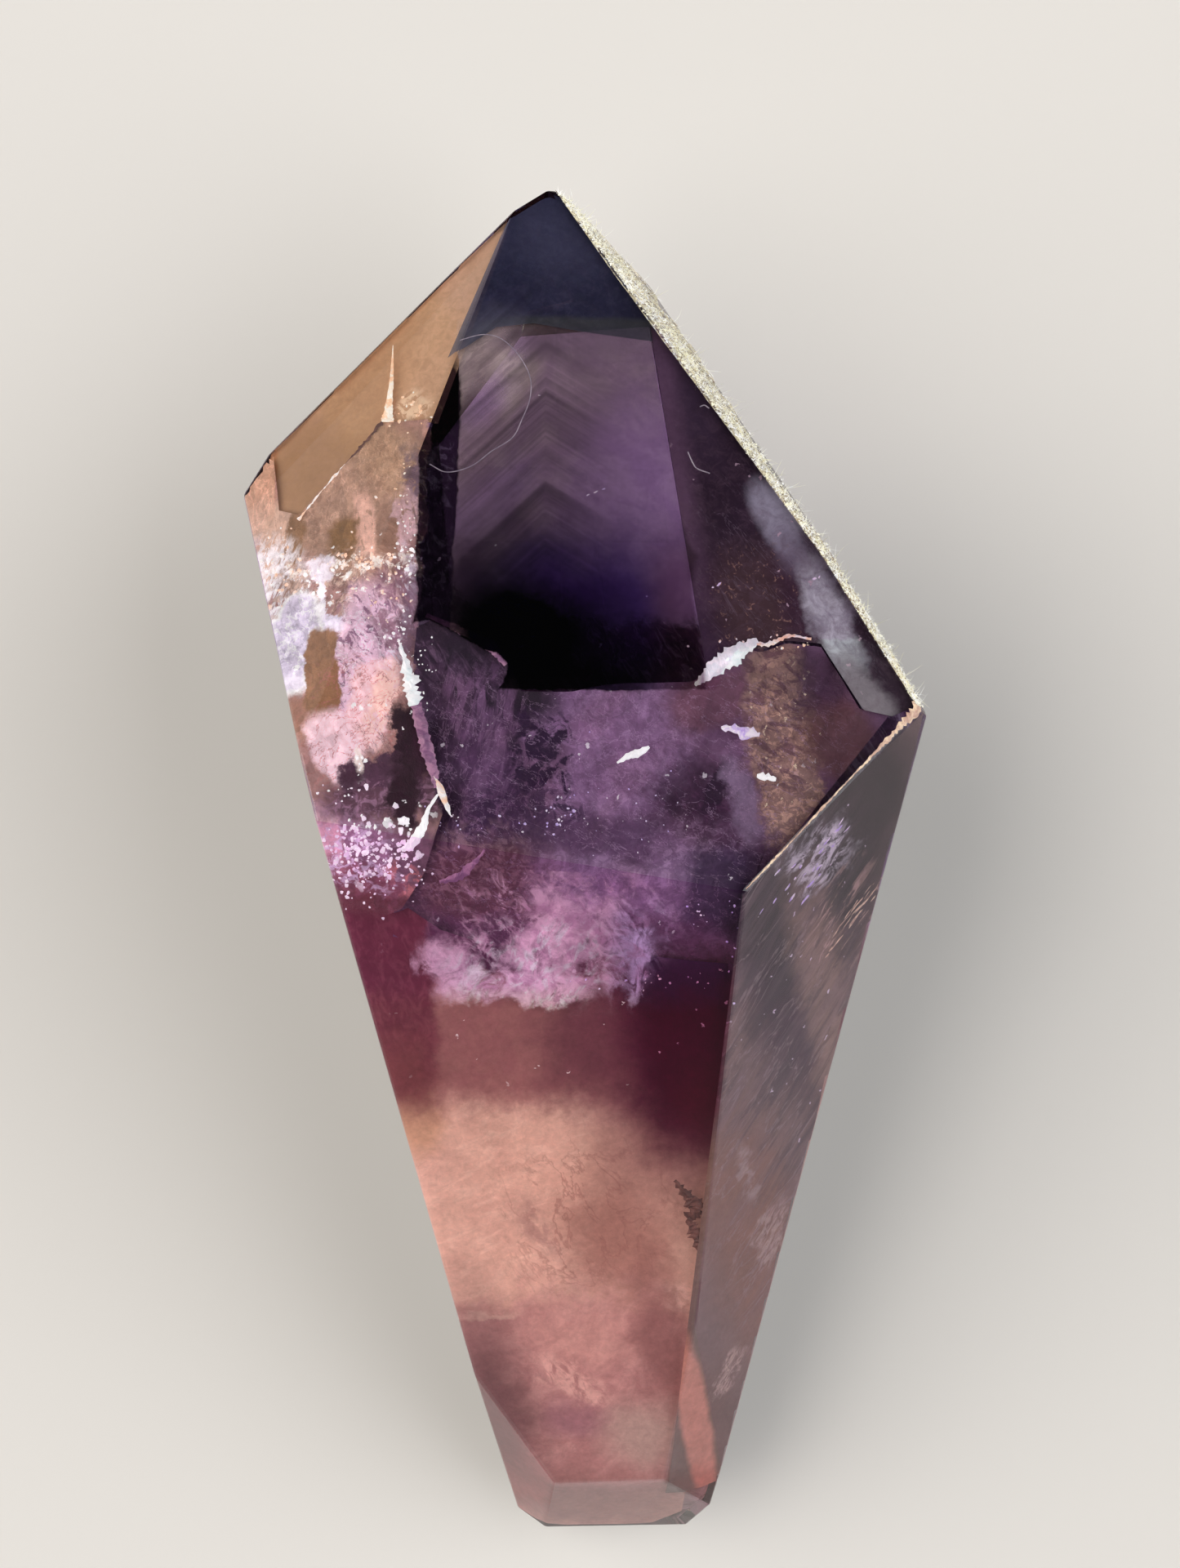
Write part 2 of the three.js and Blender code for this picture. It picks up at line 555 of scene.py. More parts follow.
def amethyst_glass(name, base, layers, mottled=0.2, bands=None):
    material, tree, shader = new_material(name)
    place, wander, mottle = stone_place(tree)
    colour = glass_tint(*base)
    for row in layers:
        mask, tone, _ = layer(tree, place, wander, *row)
        colour = blend_colour(tree, mask, colour, glass_tint(*tone))
    if bands is not None:
        zone, apex, slopes, grain, strength = bands
        band = place_group(tree, BANDS, Place=place, Apex=(*apex, 0), Left=slopes[0], Right=slopes[1],
                           Grain=grain)
        swing = range_node(tree, band, *BAND_ENDS, 1 - strength, 1 + strength)
        inside = zone_mask(tree, place, wander, zone)
        colour = vector_node(tree, "MULTIPLY", colour, blend_value(tree, inside, 1.0, swing))
    painted = vector_node(tree, "MULTIPLY", colour, uneven_light(tree, mottle, mottled))
    feed_all(tree, shader, Base_Color=painted, Roughness=0.0, Transmission_Weight=1.0, IOR=QUARTZ_INDEX)
    lamp_way = feed_all(tree, tree.nodes.new("ShaderNodeBsdfTransparent"), Color=LAMP_WAY_TINT)
    path = tree.nodes.new("ShaderNodeLightPath")
    mix = tree.nodes.new("ShaderNodeMixShader")
    feed(tree, mix.inputs["Fac"], path.outputs["Is Shadow Ray"])
    feed(tree, mix.inputs[1], shader.outputs["BSDF"])
    feed(tree, mix.inputs[2], lamp_way.outputs["BSDF"])
    feed(tree, tree.nodes["Material Output"].inputs["Surface"], mix.outputs["Shader"])
    return material


# %% [markdown]
# Amethyst grows in zones: a blue-black tip, whose blue-grey tone is partly a painted reflection, a violet
# window with bands in the shape of a roof that fade into black, and paler glass at the sides. Each flat
# has a list of its zones. A zone gives its centre and its reach in millimetres, the turn of its long side
# in degrees, how square its corners are, how soft its edge is and how far that wanders. A weight of one and
# a full cover are left out of the rows.

# %% Zones in the glass
# name, zone (centre, reach, turn, corner, soft, ragged), pattern, colour, weight, cover
HEAD_FRONT = [
    # The blue-grey of the tip, its sheen and its grain are partly a painted reflection.
    ("tip", (-1, 47, 14, 17, 0, 4, 0.12, 0.5), None, (112, 112, 134)),
    ("tip_sheen", (-1, 43, 4, 3.4, -20, 2, 0.5, 1.0), None, (130, 130, 150), 0.8),
    ("tip_grain", (-1, 41, 9, 6, 0, 4, 0.3, 0.5), ("cloud", 1.6, 1.0, 1.0, 0, 0.52, 0.1), (142, 144, 158),
     0.35),
    ("window", (-0.2, 23.2, 7.95, 13.6, 0, 6, 0.02, 0.15), None, (158, 162, 144)),
    ("window_grey", (-6.2, 33.4, 1.9, 3.1, -25, 2.5, 0.6, 0.6), None, (255, 255, 237), 0.9),
    ("window_top", (0.5, 35.2, 4.8, 1.3, 0, 2.5, 0.5, 0.8), None, (135, 132, 132), 0.7),
    ("window_violet", (3.8, 23.6, 4.4, 6.4, -16, 2, 0.7, 1.0), None, (190, 184, 192), 0.85),
    ("window_mauve", (-5.6, 24.6, 3.4, 1.8, 43, 2, 0.6, 1.2), None, (146, 142, 150), 0.7),
    ("window_mauve_low", (-7.0, 19.4, 1.2, 2.6, 0, 2, 0.5, 1.2), None, (102, 81, 96), 0.8),
    ("chevron", (-3.8, 19.6, 5.0, 4.2, 24, 2, 0.6, 1.0), None, (44, 38, 72), 0.9),
    ("indigo", (1.8, 16.8, 5.2, 5.4, 22, 2.5, 0.6, 0.8), None, (94, 58, 144), 0.95),
    ("black", (-3.8, 15.9, 6.0, 4.7, -16, 2.6, 0.5, 1.2), None, (0, 0, 6)),
    ("black_low", (-1.6, 12.6, 7.0, 2.4, -6, 3, 0.4, 1.0), None, (4, 2, 12), 0.95),
    ("window_foot", (6.8, 17.6, 2.1, 5.4, 8, 3, 0.6, 0.6), None, (134, 112, 124), 0.9),
    ("left_strip", (-9.6, 22, 1.75, 12, -2, 6, 0.05, 0.4), None, (52, 43, 55)),
    ("strip_bits", (-9.6, 24, 1.6, 6, -2, 4, 0.2, 0.6), ("cloud", 1.4, 1.2, 0.8, 30, 0.58, 0.06),
     (110, 115, 113), 0.5),
    ("right_clear", (13.51, 16.0, 5.9, 6.8, 8.6, 5, 0.04, 0.2), None, (196, 184, 194)),
    ("right_clear_far", (18.6, 14.0, 3.4, 8.0, 36, 5, 0.04, 0.3), None, (196, 184, 194)),
    ("right_clear_high", (9.7, 29.8, 4.2, 8.6, 8.6, 6, 0.03, 0.1), None, (196, 184, 194)),
    ("right_maroon", (15.6, 9.6, 3.0, 3.4, 40, 3, 0.3, 0.8), None, (52, 29, 36)),
    ("middle", (0.0, 2.4, 22.0, 10.25, 0, 14, 0.008, 0.3), None, (232, 222, 230)),
    ("middle_left_rise", (-8.8, 12.6, 3.4, 3.7, -27, 6, 0.02, 0.5), None, (232, 222, 230)),
    ("middle_right_rise", (14.8, 8.4, 6.0, 7.4, 4, 4.5, 0.02, 0.8), None, (232, 222, 230)),
    ("left_open", (-15.2, 14.0, 4.9, 18.0, 0, 14, 0.02, 0.5), None, (232, 218, 214)),
]
HEAD_LEFT = [
    ("upper", (-12.5, 34.0, 5.5, 12.0, 38, 4, 0.2, 0.5), None, (228, 210, 196), 0.8),
    ("far_left", (-21.2, 26.2, 1.5, 3.4, 0, 4, 0.1, 0.3), None, (214, 196, 184)),
    ("lower", (-15, 12, 9, 12.5, 0, 6, 0.2, 0.8), None, (232, 216, 214)),
]
BODY_FRONT = [
    ("top", (-2, 1.0, 20, 7.5, 0, 8, 0.15, 0.8), None, (204, 184, 202)),
    ("right_burgundy", (7.8, -9.6, 4.4, 6.4, 6, 3, 0.4, 0.8), None, (170, 110, 140)),
]
BODY_RIGHT = [
    ("top", (16, 4, 4.0, 8, -14, 3, 0.4, 0.8), None, (196, 184, 196), 0.9),
]
END_RIGHT = [
    ("low", (7.6, -42, 3, 2, 0, 3, 0.5, 0.8), None, (190, 140, 134), 0.8),
]
HEAD_RIGHT = [
    ("dust", None, ("cloud", 2.2, 1.0, 0.5, 38, 0.52, 0.2), (208, 196, 172), 0.8),
]
BACK = [
    ("head", (0, 33, 26, 21, 0, 4, 0.14, 2.0), None, (152, 120, 170)),
    ("head_cloud", (0, 33, 26, 21, 0, 4, 0.14, 2.0), ("cloud", 0.25, 1.0, 1.0, 0, 0.52, 0.1),
     (170, 140, 184), 0.6),
    ("middle", (0, 3, 26, 9, 0, 6, 0.25, 2.0), None, (226, 212, 228)),
]
END_FRONT = [
    ("clear", (-2, -45.5, 3, 2, 0, 3, 0.5, 0.8), None, (236, 220, 222), 0.8),
]
# zone, apex, slopes left and right, grain, strength
CHEVRONS = ((-3.8, 27.2, 4.4, 9.6, 4, 3, 0.6, 0.5), (-2.2, 26.0), (0.95, 0.62), 0.62, 0.7)
# name, the way that the flat faces (turn and lean in degrees), colour, zones, how uneven, bands
FLATS = [
    ("head_front_glass", (7.5, 18), (42, 35, 43), HEAD_FRONT, 0.25, CHEVRONS),
    ("head_left_glass", (-33, 27), (236, 222, 210), HEAD_LEFT),
    ("head_right_glass", (73, 36), (236, 224, 202), HEAD_RIGHT),
    ("body_front_glass", (-0.5, -27), (232, 208, 200), BODY_FRONT, 0.1),
    ("body_right_glass", (47, -22.5), (214, 204, 212), BODY_RIGHT, 0.1),
    ("end_right_glass", (40, -26.5), (240, 214, 208), END_RIGHT),
    ("end_glass", (2, -58), (230, 208, 206), END_FRONT),
    ("end_left_glass", (-53.5, -39.5), (200, 160, 160), END_FRONT),
    ("back_glass", (180, 0), (236, 226, 238), BACK, 0.1),
]

# %% [markdown]
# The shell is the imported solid. A new mesh could be modelled, but the solid already has every flat in its
# place. So a copy of it is merged, each flat gets the glass of its own by the way it faces, and the ridges
# are rounded by a fifth of a millimetre, as polishing leaves them.

# %% Stone
EDGE_WIDTH = 0.18 * MM
SAME_WAY = math.cos(math.radians(5))
SAME_PLACE = 0.001 * MM
SAME_FLAT, RIDGE_ANGLE = math.radians(0.5), math.radians(3)


def facing(turn, lean):
    around, along = math.radians(turn), math.radians(lean)
    return np.array([math.sin(around) * math.cos(along), math.sin(along),
                     math.cos(around) * math.cos(along)])


def stone_piece():
    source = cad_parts[STONE_NODE]
    shape = bmesh.new()
    shape.from_mesh(source.data)
    bmesh.ops.remove_doubles(shape, verts=shape.verts, dist=SAME_PLACE)
    bmesh.ops.dissolve_limit(shape, angle_limit=SAME_FLAT, verts=shape.verts, edges=shape.edges)
    mesh = bpy.data.meshes.new("polished_stone")
    shape.to_mesh(mesh)
    shape.free()
    stone = placed("polished_stone", mesh)
    mesh.materials.clear()
    for name, _, *look in FLATS:
        mesh.materials.append(amethyst_glass(name, *look))
    ways = np.array([facing(*way) for _, way, *_ in FLATS])
    for face in mesh.polygons:
        match = ways @ np.array(face.normal)
        best = int(match.argmax())
        face.material_index = best if match[best] > SAME_WAY else len(FLATS) - 1
    bevel = stone.modifiers.new("edges", "BEVEL")
    bevel.width = EDGE_WIDTH
    bevel.segments = 2
    bevel.limit_method = "ANGLE"
    bevel.angle_limit = RIDGE_ANGLE
    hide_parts(STONE_NODE)
    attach(stone, "root")
    print("stone flats:", len(mesh.polygons), "with finishes",
          sorted({f.material_index for f in mesh.polygons}))
    return stone


stone = stone_piece()

# %% [markdown]
# Everything inside hangs from the surface above it, so the next functions say how high the stone is over
# any place. Rays cast at the mesh would do too. But the flats are planes, and the lowest of them over a
# place is the roof, which works for all points at once.

# %% Height of the stone
FLAT_NORMALS = np.array([face.normal for face in stone.data.polygons])
FLAT_REACHES = np.array([np.dot(face.normal, face.center) / MM for face in stone.data.polygons])
STEEP = 0.1


def plane_heights(x, y, way):
    """The heights over each place of the flats that face up, with way 1, or down, with way -1."""
    flats = [(n, reach) for n, reach in zip(FLAT_NORMALS, FLAT_REACHES) if way * n[2] > STEEP]
    return [(reach - n[0] * x - n[1] * y) / n[2] for n, reach in flats]


def roof_height(x, y):
    """The lowest of the upward-facing planes over each place, in millimetres."""
    return np.min(plane_heights(x, y, 1), axis=0)


def bed_height(x, y):
    """The highest of the downward-facing planes under each place, in millimetres."""
    return np.max(plane_heights(x, y, -1), axis=0)


# %% Noise and lines
WAVES = 9
WAVE_LENGTHS = (0.6, 1.8)


def ripple(x, y, wavelength, seed):
    """Smooth noise between about -1 and 1: a sum of sine waves, each with its own direction, length and
    start."""
    draw = np.random.default_rng(seed)
    angles = draw.uniform(0, 2 * np.pi, WAVES)
    lengths = wavelength * draw.uniform(*WAVE_LENGTHS, WAVES)
    starts = draw.uniform(0, 2 * np.pi, WAVES)
    along = np.multiply.outer(x, np.cos(angles)) + np.multiply.outer(y, np.sin(angles))
    phase = along * 2 * np.pi / lengths + starts
    return np.sin(phase).sum(axis=-1) / np.sqrt(WAVES)


MOVES = 6


def kept_inside(places, margin):
    """Points moved back, along the flats' own directions, until each lies inside all flats by the
    margin."""
    for _ in range(MOVES):
        for normal, reach in zip(FLAT_NORMALS, FLAT_REACHES):
            over = np.maximum(places @ normal - reach + margin, 0)
            places = places - over[:, None] * normal
    return places


def steps_of(points):
    """The length of each straight piece of a line."""
    return np.linalg.norm(np.diff(np.array(points, float), axis=0), axis=1)


def along_line(points, shares):
    """Points at the given shares of the length of a line of straight pieces."""
    walked = np.concatenate([[0], np.cumsum(steps_of(points))])
    parts = np.array(points, float).T
    return np.stack([np.interp(shares * walked[-1], walked, part) for part in parts], axis=-1)


def between(first, second, share):
    return first * (1 - share) + second * share


def unit(vectors):
    return vectors / np.linalg.norm(vectors, axis=1, keepdims=True)


# %% Making a piece
def piece_from(name, vertices, faces, material, smooth=True):
    mesh = bpy.data.meshes.new(name)
    mesh.from_pydata((np.asarray(vertices) * MM).tolist(), [], [tuple(int(i) for i in f) for f in faces])
    mesh.validate()
    mesh.polygons.foreach_set("use_smooth", np.full(len(mesh.polygons), smooth))
    mesh.materials.append(material)
    piece = placed(name, mesh)
    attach(piece, "root")
    print(name, "has", len(mesh.polygons), "faces")


def grid_faces(rows, columns):
    corner = (np.arange(rows - 1)[:, None] * columns + np.arange(columns - 1)[None, :]).ravel()
    return np.stack([corner, corner + columns, corner + columns + 1, corner + 1], axis=-1)


# %% Shape of a sheet
SHEET_MARGIN = 0.14
LEAST_ROOM = 3 * SHEET_MARGIN


def sealed_sheet(name, upper, lower, depth, seed, material, relief=0.05, wavelength=8.0, step=0.35):
    """A sheet between two lines in the plan. Its points run straight from the upper line to the lower one,
    and each lies under the roof by the depth, which grows from the first value to the second, plus
    noise."""
    across = steps_of(upper).sum()
    down = np.linalg.norm(np.array(upper, float).mean(axis=0) - np.array(lower, float).mean(axis=0))
    columns, rows = int(across / step) + 2, int(down / step) + 2
    shares = np.linspace(0, 1, columns)
    top, bottom = along_line(upper, shares), along_line(lower, shares)
    fall = np.linspace(0, 1, rows)[:, None, None]
    plan = between(top[None], bottom[None], fall)
    x, y = plan[..., 0], plan[..., 1]
    sunk = depth[0] + (depth[1] - depth[0]) * fall[..., 0] + relief * ripple(x, y, wavelength, seed)
    sunk = np.maximum(sunk, SHEET_MARGIN)
    z = np.maximum(roof_height(x, y) - sunk, bed_height(x, y) + SHEET_MARGIN)
    vertices = kept_inside(np.stack([x, y, z], axis=-1).reshape(-1, 3), SHEET_MARGIN)
    faces = grid_faces(rows, columns)
    room = (roof_height(x, y) - bed_height(x, y)).ravel()
    keep = (room[faces] > LEAST_ROOM).all(axis=1)
    print(name, "lies", round(float(sunk.min()), 1), "to", round(float(sunk.max()), 1), "mm deep")
    piece_from(name, vertices, faces[keep], material)


# %% [markdown]
# A healed fracture is a thin, crumpled, milky sheet that hangs a little under the surface. Noise in a
# volume could give it, slowly. A single sheet with uneven cover gives the same look, renders fast and can
# be exported. Its finish is a stack of layers, each with a zone, a pattern, a tone, a weight and a cover.

# %% Sheets
DENT_DEPTH = 0.3 * MM
DENT_NOISE = (6.0, 0.7, 0.5)
SLANT_LEVEL = 20.0


def veil_material(name, base, layers, rough, gloss, mottled, bump=None, chips=None, slant=0.0, painted_glow=0.0):
    """Layers of colour, each with the share that it covers: colour and alpha go the same way. Painted glow
    is emission of the sheet's own colour, painted light for the light that a real fracture gathers from all
    round. Slant moves the layers along the stone with the height, from the slant's level. Bump is a
    strength and a grain. Chips are a grain, a stretch across and along, a turn and a strength, and paint
    light and shade on the small broken faces."""
    material, tree, shader = new_material(name)
    place, wander, mottle = stone_place(tree)
    if slant:
        height = parts_of(tree, "XYZ", place)["Z"]
        shift = tree.nodes.new("ShaderNodeCombineXYZ")
        feed_all(tree, shift, Y=math_node(tree, "MULTIPLY_ADD", height, slant, -SLANT_LEVEL * slant))
        place = vector_node(tree, "ADD", place, shift.outputs[0])
    base_tone, cover = base
    colour = sheet_tint(*base_tone, painted_glow)
    for row in layers:
        mask, tone, layer_cover = layer(tree, place, wander, *row)
        if tone is not None:
            colour = blend_colour(tree, mask, colour, sheet_tint(*tone, painted_glow))
        if layer_cover is not None:
            cover = blend_value(tree, mask, cover, layer_cover)
    uneven = uneven_light(tree, mottle, mottled)
    # Painted light and shade: each small chip is made lighter or darker, as if it faced the lamps at its
    # own angle.
    if chips is not None:
        grain, across, along, turn, strength = chips
        chip_shade = place_group(tree, CHIP_LIGHT_AND_SHADE, Place=place, Wander=wander, Turn=turn,
                           Stretch=(across, along, 1.0), Grain=grain)
        swing = range_node(tree, chip_shade, 0.0, 1.0, 1 - strength, 1 + strength)
        uneven = math_node(tree, "MULTIPLY", uneven, swing)
    painted = vector_node(tree, "MULTIPLY", colour, uneven)
    feed_all(tree, shader, Base_Color=painted, Alpha=cover, Roughness=rough, Specular_IOR_Level=gloss)
    # Painted light: the sheet glows with its own colour, though it is no lamp.
    if painted_glow:
        feed_all(tree, shader, Emission_Color=painted, Emission_Strength=painted_glow)
    if bump is not None:
        strength, grain = bump
        height = noise_node(tree, place, grain, *DENT_NOISE)
        dents = feed_all(tree, tree.nodes.new("ShaderNodeBump"), Strength=strength, Distance=DENT_DEPTH,
                         Height=height.outputs["Fac"])
        feed_all(tree, shader, Normal=dents.outputs["Normal"])
    return material


# %% [markdown]
# Under the left flats one large fracture runs from the shoulder to the body. It is the brightest part of
# the stone: red-brown above, an icy white lobe, brown windows, pink and orange crackle over dark hollows,
# and white grains at its foot, and it has the strongest painted glow. It could be many shards. One sheet
# with all the layers is truer, because the real thing is one crack that bends in and out of the light. Its
# bump gives the small broken faces, and its chips paint light and shade on them, one face lighter than the
# next.

# %% Fractured left side
LEFT_FRACTURE = [
    ("red_brown", (-14.2, 25.2, 4.4, 5.0, -38, 4, 0.15, 0.8), None, (164, 130, 112)),
    ("red_brown_grain", (-14.2, 25.2, 4.2, 5.0, -38, 4, 0.3, 0.8),
     ("cloud", 1.3, 1.2, 0.8, 20, 0.52, 0.14), (142, 108, 92), 0.7),
    ("red_brown_veins", (-14.2, 25.2, 4.2, 5.0, -38, 4, 0.3, 0.8), ("veins", 0.7, 1.6, 0.6, 18, 0.02),
     (196, 158, 140), 0.6),
    ("brown_low_right", (-11.5, 21.8, 1.1, 2.6, 6, 3, 0.5, 0.8), None, (126, 92, 78), 0.7),
    ("top_grey", (-10.2, 25.4, 0.8, 2.8, 4, 3, 0.4, 1.8), ("cloud", 1.2, 1.0, 1.0, 10, 0.42, 0.08),
     (98, 78, 92), 0.9),
    ("top_lilac", (-11.0, 22.9, 0.5, 2.2, 0, 3, 0.4, 1.8), ("cloud", 1.3, 1.6, 0.7, 10, 0.44, 0.06),
     (204, 166, 172), 0.8),
    ("pink_streaks", (-13.5, 22.8, 0.75, 2.4, 8, 3, 0.3, 0.9), ("cloud", 1.1, 2.2, 0.4, 12, 0.42, 0.06),
     (216, 170, 154)),
    ("clear_brown", (-14.8, 22.2, 1.0, 1.4, -12, 3, 0.3, 1.0), None, (120, 88, 56)),
    ("clear_brown_left", (-18.2, 21.8, 0.7, 2.4, -6, 3, 0.3, 1.0), None, (132, 98, 70)),
    ("far_left_pink", (-20.8, 25.8, 1.1, 3.4, 0, 6, 0.06, 0.3), None, (186, 154, 138)),
    ("far_left_veins", (-20.6, 23.8, 1.3, 5.0, 0, 4, 0.2, 0.6), ("veins", 0.6, 1.8, 0.5, 10, 0.03),
     (228, 186, 170), 0.6),
    ("far_left_low", (-19.6, 22.0, 0.8, 2.6, -8, 4, 0.2, 0.8), None, (196, 162, 144)),
    ("ice_edge", (-20.6, 18.6, 0.8, 3.6, 12, 3, 0.3, 1.2), None, (232, 221, 232)),
    ("ice_veins", (-19.2, 18.6, 2.2, 3.6, 12, 3, 0.3, 1.2), ("cloud", 1.4, 2.4, 0.5, -20, 0.46, 0.05),
     (242, 232, 244)),
    ("left_gap", (-18.2, 19.2, 0.9, 1.3, 0, 2.4, 0.5, 1.6), ("cloud", 1.3, 1.0, 1.0, 10, 0.45, 0.06),
     (142, 110, 94), 0.9),
    ("rubble", (-14.8, 18.8, 5.2, 2.4, 0, 4, 0.3, 1.4), ("cloud", 1.1, 1.0, 1.0, 0, 0.54, 0.05),
     (196, 166, 152)),
    ("rubble_dark", (-14.0, 18.0, 4.4, 3.0, 0, 4, 0.3, 1.4), ("cloud", 1.2, 1.0, 1.0, 30, 0.54, 0.05),
     (116, 84, 78), 0.9),
    ("rubble_white", (-14.8, 20.4, 4.6, 0.55, 4, 3, 0.4, 1.8), ("cloud", 1.6, 1.0, 1.0, 0, 0.54, 0.04),
     (238, 230, 222), 0.9),
    ("right_ice", (-10.9, 18.6, 0.7, 3.2, -4, 3, 0.4, 1.4), ("cloud", 1.4, 1.2, 0.8, 10, 0.57, 0.05),
     (222, 208, 222), 0.8),
    ("spur", (-16.05, 18.6, 0.22, 1.8, 6, 2.4, 0.3, 1.6), None, (234, 228, 240)),
    ("spur_top", (-16.25, 20.2, 0.8, 0.55, 10, 2, 0.4, 1.6), None, (232, 224, 236), 0.9),
    ("spur_foot", (-15.5, 16.8, 1.0, 0.45, 24, 2, 0.3, 1.6), None, (226, 218, 236)),
    ("lobe_white", (-17.9, 15.3, 1.8, 3.5, -12, 2.4, 0.1, 1.1), None, (242, 238, 248)),
    ("lobe", (-17.9, 15.4, 1.5, 3.2, -12, 2.4, 0.1, 1.1), None, (208, 198, 218)),
    ("lobe_lines", (-17.9, 15.4, 1.4, 3.1, -12, 2.4, 0.2, 0.9), ("veins", 0.6, 1.6, 0.8, 40, 0.035),
     (244, 238, 248), 0.9),
    ("lobe_shade", (-17.6, 15.8, 1.2, 2.4, -12, 2.4, 0.4, 1.2), ("cloud", 1.1, 1.6, 0.8, 40, 0.54, 0.05),
     (166, 156, 176), 0.75),
    ("lobe_rim", (-17.7, 12.8, 0.6, 0.4, 0, 2, 0.5, 1.4), None, (230, 222, 238)),
    ("brown_foot", (-16.6, 10.8, 1.2, 1.4, 30, 3, 0.3, 0.9), None, (158, 112, 92), 0.9),
    ("pink", (-13.3, 14.4, 1.9, 4.6, -8, 3, 0.25, 1.2), None, (222, 186, 206)),
    ("pink_crackle", (-13.2, 14.4, 2.1, 5.4, -4, 3, 0.3, 1.2), ("cloud", 1.6, 1.2, 0.7, 30, 0.56, 0.04),
     (124, 86, 114), 0.9),
    ("pink_white", (-13.6, 15.4, 1.8, 3.2, -4, 3, 0.3, 1.2), ("veins", 0.7, 1.2, 0.8, 60, 0.022),
     (242, 224, 234), 0.8),
    ("pink_shade", (-11.6, 17.7, 1.2, 2.4, 0, 3, 0.5, 1.6), ("cloud", 1.4, 1.2, 0.8, 20, 0.47, 0.08),
     (136, 96, 112), 0.9),
    ("brown_band", (-15.9, 13.7, 1.05, 2.7, 0, 4, 0.08, 0.8), None, (136, 98, 70)),
    ("orange", (-12.85, 11.8, 1.45, 2.9, -14, 3, 0.15, 1.2), None, (254, 197, 204)),
    ("orange_core", (-12.2, 11.8, 1.0, 2.4, -16, 2.4, 0.5, 1.8), ("cloud", 1.2, 1.0, 1.0, 20, 0.44, 0.08),
     (254, 194, 180), 0.8),
    ("orange_low", (-14.9, 9.0, 1.3, 2.3, 28, 3, 0.2, 1.0), None, (254, 203, 212)),
    ("orange_crackle", (-13.8, 10.4, 3.2, 4.6, -15, 3, 0.3, 1.0), ("veins", 0.9, 0.8, 1.4, 40, 0.022),
     (166, 100, 98), 0.75),
    ("edge_ice", (-11.0, 17.4, 0.9, 3.4, -6, 3, 0.4, 1.8), ("cloud", 1.2, 1.2, 0.8, 20, 0.57, 0.05),
     (228, 214, 228), 0.9),
    ("edge_mauve", (-10.5, 17.6, 0.7, 3.4, -4, 3, 0.5, 1.6), ("cloud", 0.9, 1.2, 0.8, 50, 0.42, 0.08),
     (108, 80, 100), 0.85),
    ("maroon", (-10.5, 8.6, 0.95, 3.0, 8, 3, 0.1, 1.4), None, (28, 6, 20)),
    ("maroon_left", (-12.8, 7.4, 2.1, 1.1, 14, 2.4, 0.15, 1.8), None, (72, 44, 62)),
    ("maroon_right", (-9.4, 8.2, 0.9, 4.0, 10, 3, 0.2, 0.9), None, (42, 16, 32), 0.9),
    ("maroon_veins", (-11.8, 8.0, 1.8, 3.6, 14, 3, 0.3, 0.8), ("veins", 0.8, 2.0, 0.6, 30, 0.02),
     (56, 26, 46), 0.5),
    ("white_tooth", (-13.5, 8.2, 0.3, 0.9, 12, 2, 0.3, 1.0), None, (240, 222, 216), 0.95),
    ("cluster", (-13.6, 2.6, 3.3, 2.2, -14, 3, 0.4, 1.6), None, (146, 106, 132)),
    ("cluster_pink", (-15.7, 3.4, 1.1, 2.3, 10, 3, 0.15, 0.8), None, (224, 174, 188), 0.95),
    ("cluster_rose", (-13.4, 1.2, 3.0, 1.0, -14, 3, 0.4, 1.2), None, (128, 70, 84), 0.8),
    ("cluster_grain", (-13.6, 2.4, 3.1, 2.0, -14, 3, 0.4, 1.6), ("cloud", 1.5, 1.0, 1.3, 10, 0.54, 0.06),
     (214, 196, 218), 0.9),
    ("hollow", (-12.4, 5.9, 3.4, 1.3, 6, 3, 0.4, 1.6), None, (78, 47, 67), 0.9),
    ("hollow_grain", (-12.2, 5.6, 3.4, 1.5, 6, 3, 0.4, 1.6), ("cloud", 1.3, 1.0, 1.2, 10, 0.53, 0.06),
     (146, 108, 132), 0.8),
    ("cluster_right", (-10.2, 2.4, 1.6, 1.9, -8, 3, 0.5, 1.6), None, (100, 70, 88), 0.9),
    ("pocket", (-10.6, 6.2, 0.95, 2.1, 6, 3, 0.3, 1.6), None, (32, 8, 22)),
    ("pocket_left", (-13.9, 7.0, 0.8, 0.9, 0, 2, 0.4, 1.6), None, (48, 20, 36), 0.8),
    ("foot", (-13.0, -0.9, 5.0, 1.3, -4, 3, 0.4, 1.0), None, (88, 34, 46), 0.95),
    ("foot_salmon", (-10.8, 1.3, 1.4, 0.9, -20, 2.4, 0.5, 1.8), ("cloud", 1.0, 1.0, 1.0, 10, 0.5, 0.06),
     (206, 128, 124), 0.8),
    ("foot_plum", (-12.6, 0.2, 3.0, 0.8, -10, 2.4, 0.6, 2.0), ("cloud", 0.8, 1.0, 1.0, 40, 0.5, 0.08),
     (112, 62, 78), 0.8),
    # painted glints: bright specks, as if small broken faces caught the lamps
    ("glints", (-14.0, 15.5, 7.0, 7.0, 0, 4, 0.2, 1.4), ("painted_glints", 2.0, 0.06), (248, 240, 244)),
    ("beyond", (-6.2, 22.4, 3.75, 9.0, -2, 8, 0.03, 0.9), None, None, 1, 0.0),
    ("beyond_low", (-5.4, 10.0, 4.2, 5.6, 14, 8, 0.03, 0.5), None, None, 1, 0.0),
    # painted glints: bright specks, as if small broken faces caught the lamps
    ("glints_low", (-11.8, 3.6, 3.2, 3.0, 20, 3, 0.3, 1.4), ("painted_glints", 1.1, 0.22), (246, 236, 252)),
